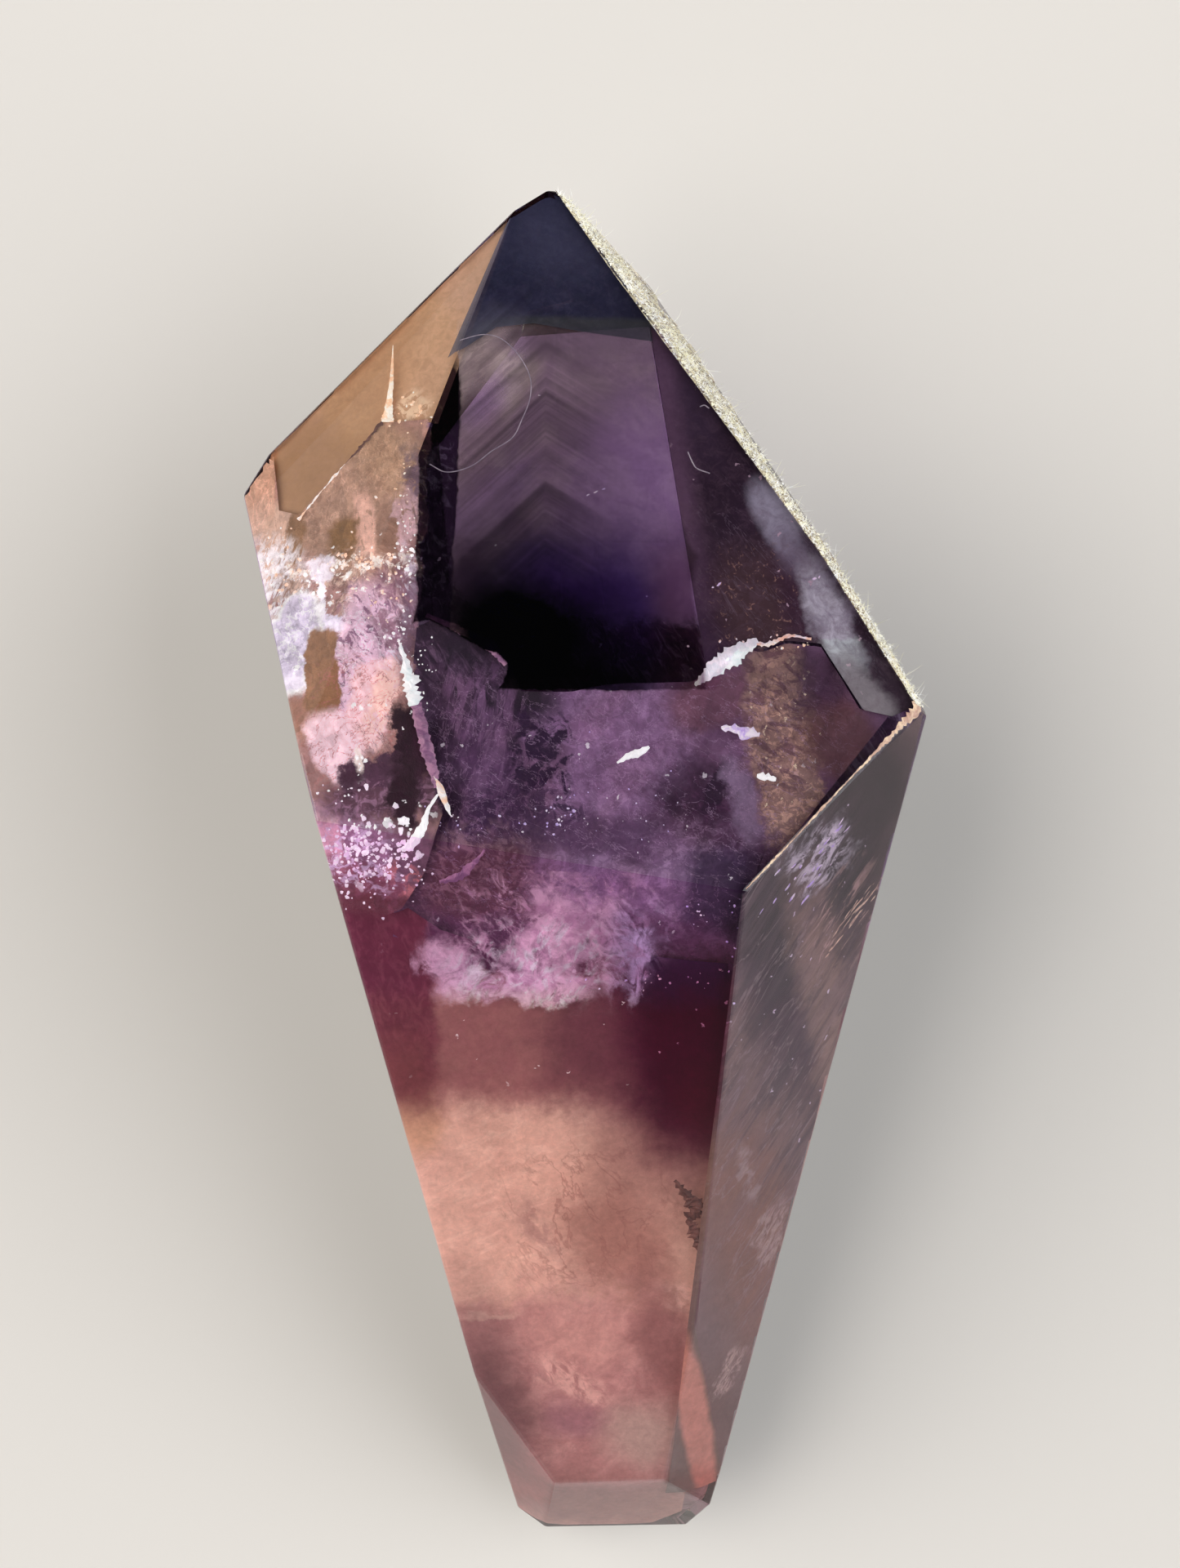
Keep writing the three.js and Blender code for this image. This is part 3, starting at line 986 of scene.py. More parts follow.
    ("foot_fade", (-13.0, -2.6, 6.0, 1.7, -4, 3, 0.5, 1.8), None, None, 1, 0.0),
]
# The fracture's painted glow stands in for light that it gathers from all round, and its chips paint light
# and shade on the small broken faces.
left_finish = veil_material("left_fracture", ((160, 120, 116), 1.0), LEFT_FRACTURE, rough=0.35,
                            bump=(0.9, 1.2), gloss=0.5, mottled=0.3, chips=(0.9, 1.5, 0.6, 18, 0.26),
                            painted_glow=0.3)
sealed_sheet("left_fracture",
             [(-22.2, 26.6), (-20.6, 28.4), (-19.9, 28.0), (-19.8, 24.4), (-17.9, 23.9), (-15.2, 27.0),
              (-12.6, 29.8), (-9.3, 29.9), (-9.8, 25.4)],
             [(-16.6, -1.2), (-14.5, -1.8), (-13.5, -1.6), (-12.4, -1.4), (-11.0, -0.8), (-9.6, 1.4),
              (-8.4, 5.0)], (0.7, 0.7), relief=0.2, wavelength=5.0, seed=3, material=left_finish)

# %% [markdown]
# Across the middle lies a mauve, blotched sheet of healed cracks. Its upper edge is the floor of the dark
# window, and its tan part climbs to the right shoulder. Seen through the polish it reads as one sheet with
# blotches, veins and streaks, so it is one, and it sinks a little towards its lower edge.

# %% Middle fracture
MIDDLE_FRACTURE = [
    ("bright_left", (-0.9, 11.0, 2.9, 1.8, 0, 5, 0.08, 1.0), None, (122, 88, 124)),
    ("bright", (3.0, 7.4, 3.9, 5.4, 0, 5, 0.08, 1.3), None, (112, 80, 112)),
    ("bright_grain", (2.4, 8.0, 4.6, 4.8, 0, 4, 0.2, 1.0), ("cloud", 1.1, 1.0, 0.8, 30, 0.52, 0.1),
     (140, 106, 142), 0.7),
    ("bright_veins", (2.4, 8.0, 4.6, 4.8, 0, 4, 0.2, 1.0), ("veins", 0.55, 1.0, 0.6, -30, 0.014),
     (150, 118, 152), 0.6),
    ("under_shard", (8.4, 12.0, 3.0, 1.6, 20, 3, 0.3, 1.0), None, (92, 58, 74), 0.9),
    ("plum_left", (-6.6, 7.4, 2.9, 5.6, 0, 4, 0.2, 1.2), None, (70, 42, 72)),
    ("gap", (-5.6, 13.2, 4.4, 1.9, -24, 3, 0.3, 1.0), None, (30, 16, 32)),
    ("ridge_dark", (-9.6, 14.2, 1.0, 2.6, 14, 3, 0.4, 1.2), None, (34, 18, 36), 0.9),
    ("ridge_light", (-8.0, 16.0, 3.4, 0.5, -27, 3, 0.4, 1.2), None, (50, 30, 50), 0.9),
    ("gap_haze", (-7.2, 13.0, 2.8, 2.6, -24, 2.6, 0.4, 0.8), ("cloud", 0.9, 1.0, 0.8, 20, 0.5, 0.08),
     (58, 36, 58), 0.8),
    ("ridge_streaks", (-7.2, 14.4, 3.4, 2.2, -27, 3, 0.4, 1.2), ("cloud", 1.3, 0.6, 1.8, -60, 0.56, 0.08),
     (112, 84, 110), 0.6),
    ("plum_streaks", (-6.6, 8.2, 2.8, 5.8, 0, 4, 0.3, 1.8), ("cloud", 0.7, 2.2, 0.35, -12, 0.52, 0.08),
     (104, 72, 104), 0.8),
    ("plum_dark", (-8.4, 8.0, 1.0, 4.0, 6, 3, 0.3, 1.0), None, (40, 20, 42), 0.8),
    ("plum_lines", (-6.0, 7.6, 3.2, 5.6, 0, 4, 0.3, 1.6), ("veins", 0.5, 1.8, 0.4, -14, 0.016),
     (132, 98, 130), 0.5),
    ("blotches", (-2.4, 8.4, 2.1, 2.9, 0, 3, 0.2, 1.5), ("cloud", 0.7, 1.0, 1.0, 20, 0.5, 0.05),
     (36, 14, 42)),
    ("blotches_low", (-3.4, 4.2, 4.2, 2.4, 0, 3, 0.3, 1.4), ("cloud", 0.8, 1.0, 0.8, 50, 0.48, 0.05),
     (48, 26, 54), 0.9),
    ("dark_right", (7.0, 5.3, 2.5, 2.7, 30, 3, 0.6, 1.8), None, (44, 18, 42), 0.95),
    ("dark_right_grain", (7.0, 5.6, 3.4, 3.4, 30, 3, 0.4, 1.6), ("cloud", 1.2, 1.4, 0.7, 30, 0.55, 0.05),
     (78, 44, 72), 0.45),
    ("dark_core", (8.6, 6.6, 0.5, 1.7, -24, 2.4, 0.4, 2.0), None, (30, 8, 32), 0.9),
    ("dark_band", (7.0, 3.0, 4.4, 1.1, -14, 3, 0.5, 1.8), None, (48, 14, 40), 0.9),
    ("grey_streak", (10.0, 5.8, 0.8, 2.7, 14, 2.4, 0.4, 1.4), None, (118, 96, 122), 0.9),
    ("tan", (12.7, 9.6, 2.2, 6.6, 6, 3, 0.2, 1.7), None, (122, 94, 90)),
    ("tan_grain", (12.9, 8.4, 2.1, 5.6, 6, 3, 0.3, 1.6), ("cloud", 2.0, 1.0, 1.0, 10, 0.54, 0.05),
     (168, 132, 120), 0.9),
    ("tan_dark", (12.2, 11.2, 2.5, 5.0, 6, 3, 0.3, 1.4), ("cloud", 1.0, 1.4, 0.7, 60, 0.52, 0.05),
     (84, 56, 66), 0.85),
    ("right_plum", (15.2, 13.0, 1.8, 2.2, 0, 3, 0.4, 1.2), None, (58, 34, 54), 0.9),
    ("right_brown", (16.4, 9.4, 2.4, 2.4, 30, 3, 0.4, 1.0), None, (76, 46, 50), 0.9),
    ("low_brown", (-5.6, 1.0, 4.6, 2.4, 0, 4, 0.4, 1.4), None, (90, 54, 68)),
    ("low_brown_grain", (-5.6, 1.4, 4.6, 2.6, 0, 4, 0.4, 1.4), ("cloud", 1.4, 0.8, 1.2, -40, 0.54, 0.08),
     (148, 112, 124), 0.6),
    ("low_violet", (3.0, 0.8, 5.4, 3.0, 0, 3, 0.4, 1.4), None, (120, 90, 122), 0.9),
    ("low_violet_grain", (4.0, 0.4, 6.0, 3.4, 0, 3, 0.4, 1.4), ("cloud", 1.3, 1.0, 1.2, 30, 0.53, 0.07),
     (152, 120, 154), 0.7),
    ("low_dark", (0.6, 3.4, 4.6, 1.2, -6, 3, 0.5, 1.6), None, (66, 40, 68), 0.8),
    ("low_right", (8.6, 0.2, 2.4, 2.6, 0, 3, 0.4, 1.4), None, (48, 30, 58), 0.9),
    ("low_plum", (-2.0, -2.8, 10.0, 1.8, 0, 3, 0.5, 1.8), None, (84, 46, 74), 0.9),
    ("fine_veins", (2, 6, 14, 8, 0, 4, 0.2, 1.0), ("veins", 0.8, 1.6, 0.6, 60, 0.010), (160, 130, 160),
     0.5),
    # painted glints: bright specks, as if small broken faces caught the lamps
    ("glints", (1, 5, 13, 8, 0, 4, 0.2, 1.4), ("painted_glints", 2.6, 0.02), (206, 190, 208), 0.9),
    ("ridge_fade", (-8.4, 16.4, 3.8, 1.3, -27, 3, 0.6, 1.2), None, (22, 12, 24), 0.8),
    # painted glints: bright specks, as if small broken faces caught the lamps
    ("tan_glints", (13.0, 8.2, 2.2, 5.8, 6, 3, 0.3, 1.4), ("painted_glints", 3.2, 0.10), (208, 180, 158), 0.8),
    ("low_fade", (-2.0, -5.0, 14.0, 1.8, 0, 3, 0.5, 2.0), None, None, 1, 0.0),
]
# Its chips paint light and shade on the small broken faces.
middle_finish = veil_material("middle_fracture", ((96, 66, 94), 1.0), MIDDLE_FRACTURE, rough=0.5,
                              bump=(0.8, 1.2), gloss=0.3, mottled=0.25, chips=(0.5, 1.3, 0.7, -20, 0.2))
sealed_sheet("middle_fracture",
             [(-10.2, 16.5), (-9.2, 17.0), (-7.2, 16.1), (-5.4, 15.4), (-4.4, 14.4), (-3.7, 12.5),
              (-0.5, 12.5), (1.5, 12.9), (3, 13.05), (7, 13.1), (8.2, 13.9), (9.9, 15.4), (11.4, 15.0),
              (13.0, 15.6), (15.2, 15.4), (17.6, 11.4), (19.6, 11.2)],
             [(-11.6, -2.4), (-8.0, -3.2), (-4.0, -3.6), (0, -3.8), (4, -3.8), (7, -4.4), (9.6, -4.6),
              (9.8, -1.0), (12.0, 2.0)], (0.8, 1.6), relief=0.3, wavelength=4.0, seed=7,
             material=middle_finish)

# %% [markdown]
# The body is cloudy and rose-brown, with a burgundy band at its top, a pale middle and a rosier end. These
# are broad zones with soft edges, so a smooth sheet close under the front carries them, with only a little
# bump.

# %% Body
BODY_VEIL = [
    ("pale", (-2.0, -20.5, 10, 8.6, 0, 5, 0.12, 1.0), None, (191, 149, 140)),
    ("pale_cloud", (-2.0, -19.0, 9, 8.0, 0, 4, 0.3, 1.0), ("cloud", 0.28, 1.0, 0.7, 20, 0.5, 0.14),
     (203, 162, 151), 0.7),
    ("pale_wisps", (-4.0, -19.0, 7, 8.0, 0, 4, 0.4, 1.0), ("cloud", 0.6, 0.8, 2.2, 24, 0.56, 0.1),
     (214, 175, 165), 0.5),
    ("pale_right", (4.0, -17.6, 3.6, 4.6, 0, 2.6, 0.7, 1.6), None, (169, 126, 118), 0.9),
    ("right_veins", (3.4, -19.6, 4.4, 5.0, 0, 2.6, 0.6, 1.6), ("cloud", 0.5, 1.0, 2.0, 30, 0.52, 0.08),
     (186, 143, 133), 0.6),
    ("ochre", (-10.4, -14.4, 1.6, 2.4, 0, 3, 0.5, 1.0), None, (184, 139, 116), 0.8),
    ("fold", (2.6, -23.4, 3.2, 4.2, 30, 2.4, 0.6, 1.8), None, (150, 105, 99), 0.9),
    ("fold_lines", (0.6, -21.4, 5.4, 5.2, 20, 2.4, 0.5, 1.2), ("veins", 0.3, 1.4, 0.6, 28, 0.028),
     (137, 92, 88), 0.55),
    ("grey_oval", (-2.9, -22.0, 0.9, 2.2, 30, 2, 0.6, 1.4), ("cloud", 0.9, 1.6, 0.6, 30, 0.42, 0.12),
     (160, 122, 118), 0.8),
    ("low_rose", (-1.0, -34.6, 9.0, 7.2, 0, 6, 0.16, 1.6), None, (160, 112, 114)),
    ("low_cloud", (0.0, -33.0, 7, 7.0, 0, 4, 0.3, 1.0), ("cloud", 0.4, 1.0, 0.6, -30, 0.52, 0.12),
     (188, 141, 141), 0.7),
    ("low_light", (0.2, -29.8, 3.6, 2.0, 0, 2.4, 0.7, 1.6), None, (196, 148, 143), 0.5),
    ("step_line", (-6.2, -28.1, 1.8, 0.3, 8, 2, 0.6, 1.6), None, (226, 178, 168), 0.5),
    ("pink_spot", (6.2, -26.8, 1.2, 0.9, -20, 2, 0.6, 1.4), ("cloud", 0.9, 1.0, 1.0, 20, 0.48, 0.1),
     (224, 170, 164), 0.8),
    ("swirl", (-0.6, -33.0, 2.6, 1.0, -30, 2, 0.5, 1.6), ("cloud", 0.7, 1.0, 2.4, -50, 0.48, 0.1),
     (214, 166, 162), 0.8),
    ("purple_spot", (-0.4, -35.8, 2.4, 1.2, 0, 2, 0.8, 1.6), None, (132, 90, 104), 0.7),
    ("dark_left_low", (-5.6, -35.4, 2.4, 7.4, 14, 2.4, 0.8, 1.6), None, (98, 64, 70), 0.9),
    ("end_shade", (0.6, -42.6, 7.0, 2.6, -6, 3, 0.6, 1.4), None, (132, 92, 92), 0.8),
    ("right_shade", (5.4, -30.6, 1.5, 5.4, 10, 2.4, 0.7, 1.6), None, (130, 84, 86), 0.8),
    ("grey_patch", (4.2, -37.0, 2.4, 2.2, -10, 2.4, 0.7, 1.2), None, (166, 140, 136), 0.8),
    ("top_plum", (-3.0, -2.4, 12.0, 3.2, 0, 4, 0.4, 2.0), None, (80, 40, 68)),
    ("rosy", (-3.2, -9.6, 8.6, 3.8, 0, 4, 0.4, 1.6), None, (130, 80, 86)),
    ("rosy_cloud", (-3.2, -9.8, 8.0, 3.8, 0, 4, 0.4, 1.4), ("cloud", 0.5, 1.3, 0.7, -8, 0.52, 0.14),
     (138, 90, 92), 0.7),
    ("rosy_dark", (1.2, -8.6, 3.2, 4.2, 0, 3, 0.7, 1.8), None, (92, 46, 60), 0.9),
    ("left_burgundy", (-13.2, -5.6, 4.0, 7.4, 4, 5, 0.10, 1.0), None, (94, 38, 56)),
    ("left_burgundy_grain", (-12.4, -5.6, 3.4, 7.2, 4, 5, 0.2, 0.8),
     ("cloud", 1.1, 1.5, 0.6, 10, 0.54, 0.12), (120, 62, 76), 0.6),
    ("left_burgundy_low", (-11.4, -11.6, 2.2, 2.6, 4, 3, 0.6, 1.2), None, (104, 52, 58), 0.8),
    ("burgundy_fade", (6.4, -10.8, 5.0, 7.6, 14, 2.2, 0.8, 1.4), None, (98, 46, 62), 0.95),
    ("right_burgundy", (7.4, -9.8, 4.6, 7.2, 12, 2.6, 0.4, 1.6), None, (66, 4, 40)),
    ("burgundy_red", (8.6, -13.6, 2.4, 2.6, 10, 2.4, 0.7, 1.4), None, (78, 20, 42), 0.8),
    ("right_plum", (6.8, -3.4, 3.6, 3.0, 0, 4, 0.4, 1.4), None, (54, 22, 58)),
    # painted glints: bright specks, as if small broken faces caught the lamps
    ("glints", (0, -6, 11, 6, 0, 4, 0.2, 1.4), ("painted_glints", 2.6, 0.02), (210, 190, 200), 0.8),
]
# A small painted glow brightens the body veil.
body_finish = veil_material("body_veil", ((186, 138, 130), 1.0), BODY_VEIL, rough=0.6, bump=(0.25, 0.8),
                            gloss=0.2, mottled=0.24, painted_glow=0.1)
sealed_sheet("body_veil",
             [(-17.2, 1.2), (-12.0, 0.4), (-8.6, -2.0), (-5.0, -3.2), (0, -3.6), (4, -3.6), (7, -4.0),
              (9.7, -4.2)],
             [(-5.8, -43.8), (-3.0, -44.8), (-1.0, -45.0), (1.0, -45.0), (3.2, -45.0), (5.0, -44.8),
              (7.0, -43.6)], (1.5, 1.1), relief=0.2, wavelength=9.0, seed=11, material=body_finish)

# %% [markdown]
# Between the fracture and the burgundy band floats a pink and white veil like smoke. Its sheet is clear
# except where the noise is high, so that the colours below show in its gaps.

# %% Cloud
CLOUD_VEIL = [
    ("arc_left", (-8.0, -4.4, 1.9, 1.3, -42, 2.4, 0.5, 1.8), ("cloud", 0.6, 1.0, 1.0, 30, 0.44, 0.14),
     None, 1, 0.9),
    ("arc", (-4.0, -5.9, 4.2, 1.0, 0, 3, 0.4, 1.8), ("cloud", 0.6, 1.0, 1.4, 10, 0.42, 0.14), None, 1,
     0.95),
    ("arc_inner", (-5.6, -3.2, 2.2, 1.3, 20, 2, 0.5, 1.6), ("cloud", 0.6, 1.6, 0.8, 30, 0.52, 0.1), None,
     1, 0.7),
    ("bright", (-2.0, -3.0, 1.7, 3.0, -28, 2.4, 0.5, 2.0), ("cloud", 0.5, 1.4, 0.8, -30, 0.42, 0.12),
     None),
    ("upper", (-1.0, -0.2, 1.4, 1.6, 0, 2.4, 0.6, 1.8), ("cloud", 0.7, 1.0, 1.0, 60, 0.48, 0.12), None, 1,
     0.6),
    ("wisp_right", (3.6, -4.4, 0.6, 2.4, -8, 2, 0.5, 1.8), ("cloud", 0.9, 2.2, 0.5, 0, 0.46, 0.1), None,
     1, 0.95),
    ("haze", (1.2, -3.4, 2.8, 3.0, 0, 2, 0.6, 1.8), ("cloud", 0.5, 1.0, 1.0, 0, 0.5, 0.14), None, 1, 0.5),
    ("strands", (-1.6, -1.8, 6.0, 3.6, 0, 2.4, 0.5, 1.6), ("cloud", 0.7, 1.5, 0.8, 34, 0.57, 0.08), None,
     1, 0.55),
    ("blue_side", (4.0, -4, 2.0, 4.0, 0, 3, 0.4, 1.0), None, (188, 176, 214), 0.8, None),
    ("grey_side", (-5.4, -5.2, 3.6, 1.6, 0, 3, 0.5, 1.0), None, (208, 180, 196), 0.8, None),
    ("shade", (-1.0, -3.0, 8, 5, 0, 3, 0.3, 1.0), ("cloud", 0.6, 1.4, 0.8, 50, 0.54, 0.1),
     (158, 112, 142), 0.7, None),
    ("shine", (-3.0, -4.6, 5, 3, 0, 3, 0.3, 1.0), ("cloud", 0.8, 1.6, 0.7, -30, 0.56, 0.06),
     (238, 222, 234), 0.9, None),
]
# A small painted glow brightens the cloud.
cloud_finish = veil_material("cloud_veil", ((216, 178, 194), 0.0), CLOUD_VEIL, rough=0.7, bump=(0.4, 1.6),
                             gloss=0.2, mottled=0.25, painted_glow=0.1)
sealed_sheet("cloud_veil", [(-10.6, 2.0), (9.4, 1.2)], [(-10.6, -9.0), (7.6, -9.0)], (0.7, 0.7),
             relief=0.1, wavelength=4.0, seed=13, material=cloud_finish)

# %% [markdown]
# Behind the flats of the head lie a tan haze on the left, a dark haze with a pale lens on the right, a
# blue-grey one at the tip, which is partly a painted reflection, and a faint one at the top of the window.
# They could be one sheet, but the window between them is clear. So each is a sheet of its own, cut to the
# window's sides.

# %% Head
TAN_VEIL = [
    ("low", (-17.4, 26.6, 3.0, 3.4, -40, 3, 0.4, 0.8), None, (146, 114, 84), 0.9, 0.96),
    ("ridge_side", (-8.4, 36.0, 1.6, 8.0, -18, 3, 0.5, 0.8), None, (180, 146, 122), 0.9, 0.96),
    ("grain", (-13, 33, 8, 10, 0, 3, 0.5, 0.8), ("cloud", 1.5, 1.0, 1.0, 0, 0.5, 0.15), (150, 118, 94),
     0.5, 0.96),
    ("pink_bits", (-10.6, 30.6, 1.2, 1.2, 0, 2, 0.3, 1.0), ("cloud", 1.1, 1.0, 1.0, 0, 0.48, 0.04),
     (226, 176, 156)),
]
tan_finish = veil_material("tan_veil", ((166, 132, 106), 0.96), TAN_VEIL, rough=0.6, gloss=0.2, mottled=0.1)
sealed_sheet("tan_veil", [(-20.2, 28.6), (-14.0, 34.6), (-8.3, 40.3), (-4.3, 43.9)],
             [(-19.9, 24.4), (-17.9, 23.8), (-12.6, 29.7), (-9.1, 29.6)], (1.2, 1.2), relief=0.1, seed=17,
             material=tan_finish)

HEAD_HAZE = [
    ("maroon", (8.6, 28, 2.6, 7, 24, 3, 0.4, 0.8), None, (42, 30, 42)),
    ("upper_violet", (6.6, 31.6, 1.6, 4.4, 24, 2.4, 0.6, 0.8), None, (56, 44, 60), 0.7),
    ("low_violet", (8.4, 16.6, 1.6, 4.6, 8, 2.4, 0.6, 0.8), None, (46, 28, 50), 0.8),
    ("edge_mauve", (5.8, 28.6, 1.0, 9.5, 8.6, 3, 0.8, 0.3), None, (86, 66, 84), 0.85),
    ("brown", (11.2, 18.2, 2.6, 3.4, 10, 3, 0.5, 0.8), None, (66, 50, 52), 0.9),
    ("dark_maroon", (14.2, 18.4, 1.6, 3.4, 20, 3, 0.5, 0.8), None, (54, 36, 48), 0.9),
    ("lens", (12.5, 23.8, 1.2, 2.5, 28, 2.2, 0.35, 0.6), None, (150, 152, 162), 0.85),
    ("lens_low", (13.4, 21.6, 1.0, 1.6, 30, 2.4, 0.6, 0.6), None, (110, 104, 118), 0.6),
    ("band", (15.9, 17.2, 1.15, 3.6, 22, 2.4, 0.4, 1.2), None, (178, 182, 186), 0.9),
    ("band_patches", (15.8, 18.0, 1.4, 4.6, 22, 2.4, 0.4, 1.2), ("cloud", 0.7, 1.2, 0.8, 30, 0.52, 0.12),
     (112, 106, 118), 0.7),
    ("tail", (18.0, 12.4, 0.9, 2.6, 38, 3, 0.5, 1.0), None, (128, 122, 126), 0.85),
    ("grain", (12.6, 20, 7, 12, 24, 3, 0.4, 0.8), ("cloud", 1.1, 1.0, 1.0, 0, 0.55, 0.12), (84, 68, 78),
     0.35),
    ("brown_specks", (11.2, 18.0, 2.8, 3.6, 10, 3, 0.4, 0.8), ("cloud", 2.6, 1.0, 1.0, 0, 0.62, 0.03),
     (132, 104, 92), 0.9),
    ("scratches", (13.0, 19, 5, 8, 20, 3, 0.4, 0.8), ("veins", 0.5, 2.4, 0.4, 40, 0.010), (130, 118, 130),
     0.25),
    # painted glints: bright specks, as if small broken faces caught the lamps
    ("glints", (12.0, 20, 6, 9, 24, 3, 0.4, 0.8), ("painted_glints", 2.6, 0.03), (170, 150, 160), 0.9),
]
haze_finish = veil_material("head_haze", ((48, 36, 46), 1.0), HEAD_HAZE, rough=0.7, gloss=0.08, mottled=0.2)
sealed_sheet("head_haze", [(4.5, 36.4), (10.0, 29.4), (15.6, 21.4), (21.6, 11.8)],
             [(8.0, 13.3), (8.8, 14.4), (9.9, 15.6), (11.4, 15.2), (13.0, 15.8), (15.2, 15.6),
              (17.8, 11.4), (19.6, 11.0)], (0.5, 0.5), seed=19, material=haze_finish)
# The blue-grey haze and sheen at the tip are partly a painted reflection.
TIP_HAZE_AND_SHEEN = [
    ("low", (-0.5, 36.8, 7, 2.6, 0, 3, 0.5, 0.8), None, (62, 62, 76), 0.9, 0.85),
    ("sheen", (-1.6, 42.0, 3.0, 2.6, -20, 2, 0.6, 1.0), None, (84, 84, 98), 0.8, 0.8),
    ("haze", (0.2, 38.8, 3.4, 2.0, 20, 2, 0.6, 1.0), ("cloud", 0.6, 1.0, 1.0, 30, 0.5, 0.12),
     (80, 76, 90), 0.8, 0.85),
]
tip_haze_and_sheen_finish = veil_material("tip_haze_and_sheen", ((64, 66, 82), 0.78), TIP_HAZE_AND_SHEEN, rough=0.6, gloss=0.1, mottled=0.2)
sealed_sheet("tip_haze_and_sheen", [(-4.4, 43.9), (-2.2, 45.4), (-0.8, 44.8)],
             [(-8.4, 34.0), (-5.4, 36.1), (-3.0, 36.4), (0.0, 35.9), (5.4, 35.2)], (0.5, 0.5), seed=21,
             material=tip_haze_and_sheen_finish)

WINDOW_VEIL = [
    ("corner", (-5.9, 33.4, 2.4, 3.2, -25, 2.5, 0.6, 0.6), None, None, 1, 0.8),
    ("corner_bands", (-5.9, 33.2, 2.4, 3.6, -25, 2.5, 0.5, 0.6), ("cloud", 0.5, 0.5, 2.6, 41, 0.5, 0.08),
     (116, 102, 102), 0.8, None),
    ("top", (-0.5, 35.4, 4.4, 1.2, 0, 2.5, 0.5, 0.6), None, (122, 102, 118), 1, 0.35),
    ("left_side", (-6.3, 28.0, 1.5, 4.6, 0, 2.5, 0.6, 0.8), None, (104, 84, 100), 1, 0.22),
]
window_finish = veil_material("window_veil", ((154, 138, 136), 0.0), WINDOW_VEIL, rough=0.7, gloss=0.1,
                              mottled=0.2)
sealed_sheet("window_veil", [(-7.8, 36.6), (4.6, 36.4)], [(-7.8, 22.0), (5.6, 22.0)], (0.8, 0.8), seed=23,
             material=window_finish)

# %% [markdown]
# The right flat of the body is smoky, with brown and violet fibres that all lean the same way and a few
# lilac and tan streaks. Stretched noise makes fibres in any direction, and a high cover keeps the floor
# from showing.

# %% Right flat
RIGHT_VEIL = [
    ("top_dark", (17.0, 5.4, 4.2, 6.0, -30, 3, 0.5, 0.8), None, (34, 16, 30), 0.95),
    ("violet", (12.8, -4.6, 3.0, 9.0, 16, 3, 0.5, 1.2), None, (50, 22, 46), 0.95),
    ("upper_shade", (14.4, -0.6, 4.6, 5.2, -30, 3, 0.5, 1.0), None, (30, 6, 28), 0.9),
    ("brown_edge", (16.0, -8.0, 1.6, 9.0, 14, 3, 0.5, 1.2), None, (130, 106, 98), 0.85),
    ("low", (11.6, -24.0, 3.0, 8.5, 14, 3, 0.6, 1.2), None, (120, 84, 74), 0.9),
    ("end", (9.0, -37.0, 2.2, 5.0, 12, 3, 0.5, 1.2), None, (98, 72, 70), 0.9),
    ("wedge", (7.7, -36.4, 1.0, 7.2, 9, 2.0, 0.25, 0.3), None, (172, 116, 108)),
    ("fibres", (13.4, -10, 7, 26, 14, 3, 0.3, 1.2), ("cloud", 0.35, 2.4, 0.3, -34, 0.53, 0.12),
     (104, 84, 92), 0.45),
    ("fibres_dark", (13, -6, 6, 16, 14, 3, 0.3, 1.2), ("cloud", 0.5, 2.4, 0.3, -30, 0.54, 0.1),
     (44, 30, 46), 0.5),
    ("fibre_lines", (13, -16, 6, 22, 14, 3, 0.3, 1.2), ("veins", 0.2, 2.6, 0.35, -34, 0.012),
     (140, 122, 126), 0.4),
    ("lilac_streaks", (15.0, 2.4, 2.2, 1.5, 40, 3, 0.4, 1.6), ("cloud", 0.9, 1.5, 0.6, -42, 0.5, 0.08),
     (204, 192, 222), 0.9),
    ("tan_streaks", (17.0, -1.6, 2.2, 3.4, -30, 3, 0.4, 1.2), ("cloud", 0.7, 2.4, 0.45, -36, 0.58, 0.06),
     (172, 142, 134), 0.75),
    ("patch_high", (10.8, -18.4, 0.5, 1.7, 20, 2.4, 0.5, 1.8), ("cloud", 1.0, 1.8, 0.6, -30, 0.48, 0.1),
     (140, 120, 118), 0.8),
    ("patch_low", (12.6, -23.2, 0.8, 1.9, -10, 2.4, 0.5, 2.0), ("cloud", 2.0, 1.8, 0.5, -30, 0.48, 0.1),
     (160, 138, 132), 0.85),
    ("flake", (9.9, -33.0, 0.5, 1.7, -30, 2.4, 0.5, 1.8), ("cloud", 2.2, 1.8, 0.5, -30, 0.47, 0.1),
     (166, 142, 134), 0.85),
    # painted glints: bright specks, as if small broken faces caught the lamps
    ("glints", (14, -4, 6, 18, 14, 4, 0.2, 1.4), ("painted_glints", 3.0, 0.03), (190, 176, 190), 0.9),
]
right_finish = veil_material("right_veil", ((108, 86, 86), 1.0), RIGHT_VEIL, rough=0.6, bump=(0.4, 1.2),
                             gloss=0.12, mottled=0.22)
sealed_sheet("right_veil", [(10.0, 0.1), (15.0, 5.2), (21.6, 11.4)],
             [(5.8, -41.8), (8.2, -41.6), (11.4, -40.8)], (0.35, 0.35), seed=29, material=right_finish,
             step=0.5)

# %% [markdown]
# The other flats are worked out from the bands that cross the front, because a crystal's bands go right
# through it. The back could be left as clear glass, but then the sheets of the front would show as foil. A
# skin inside the back and side flats has the same bands in a softer form. It leaves out the window and the
# tip, which are clear.

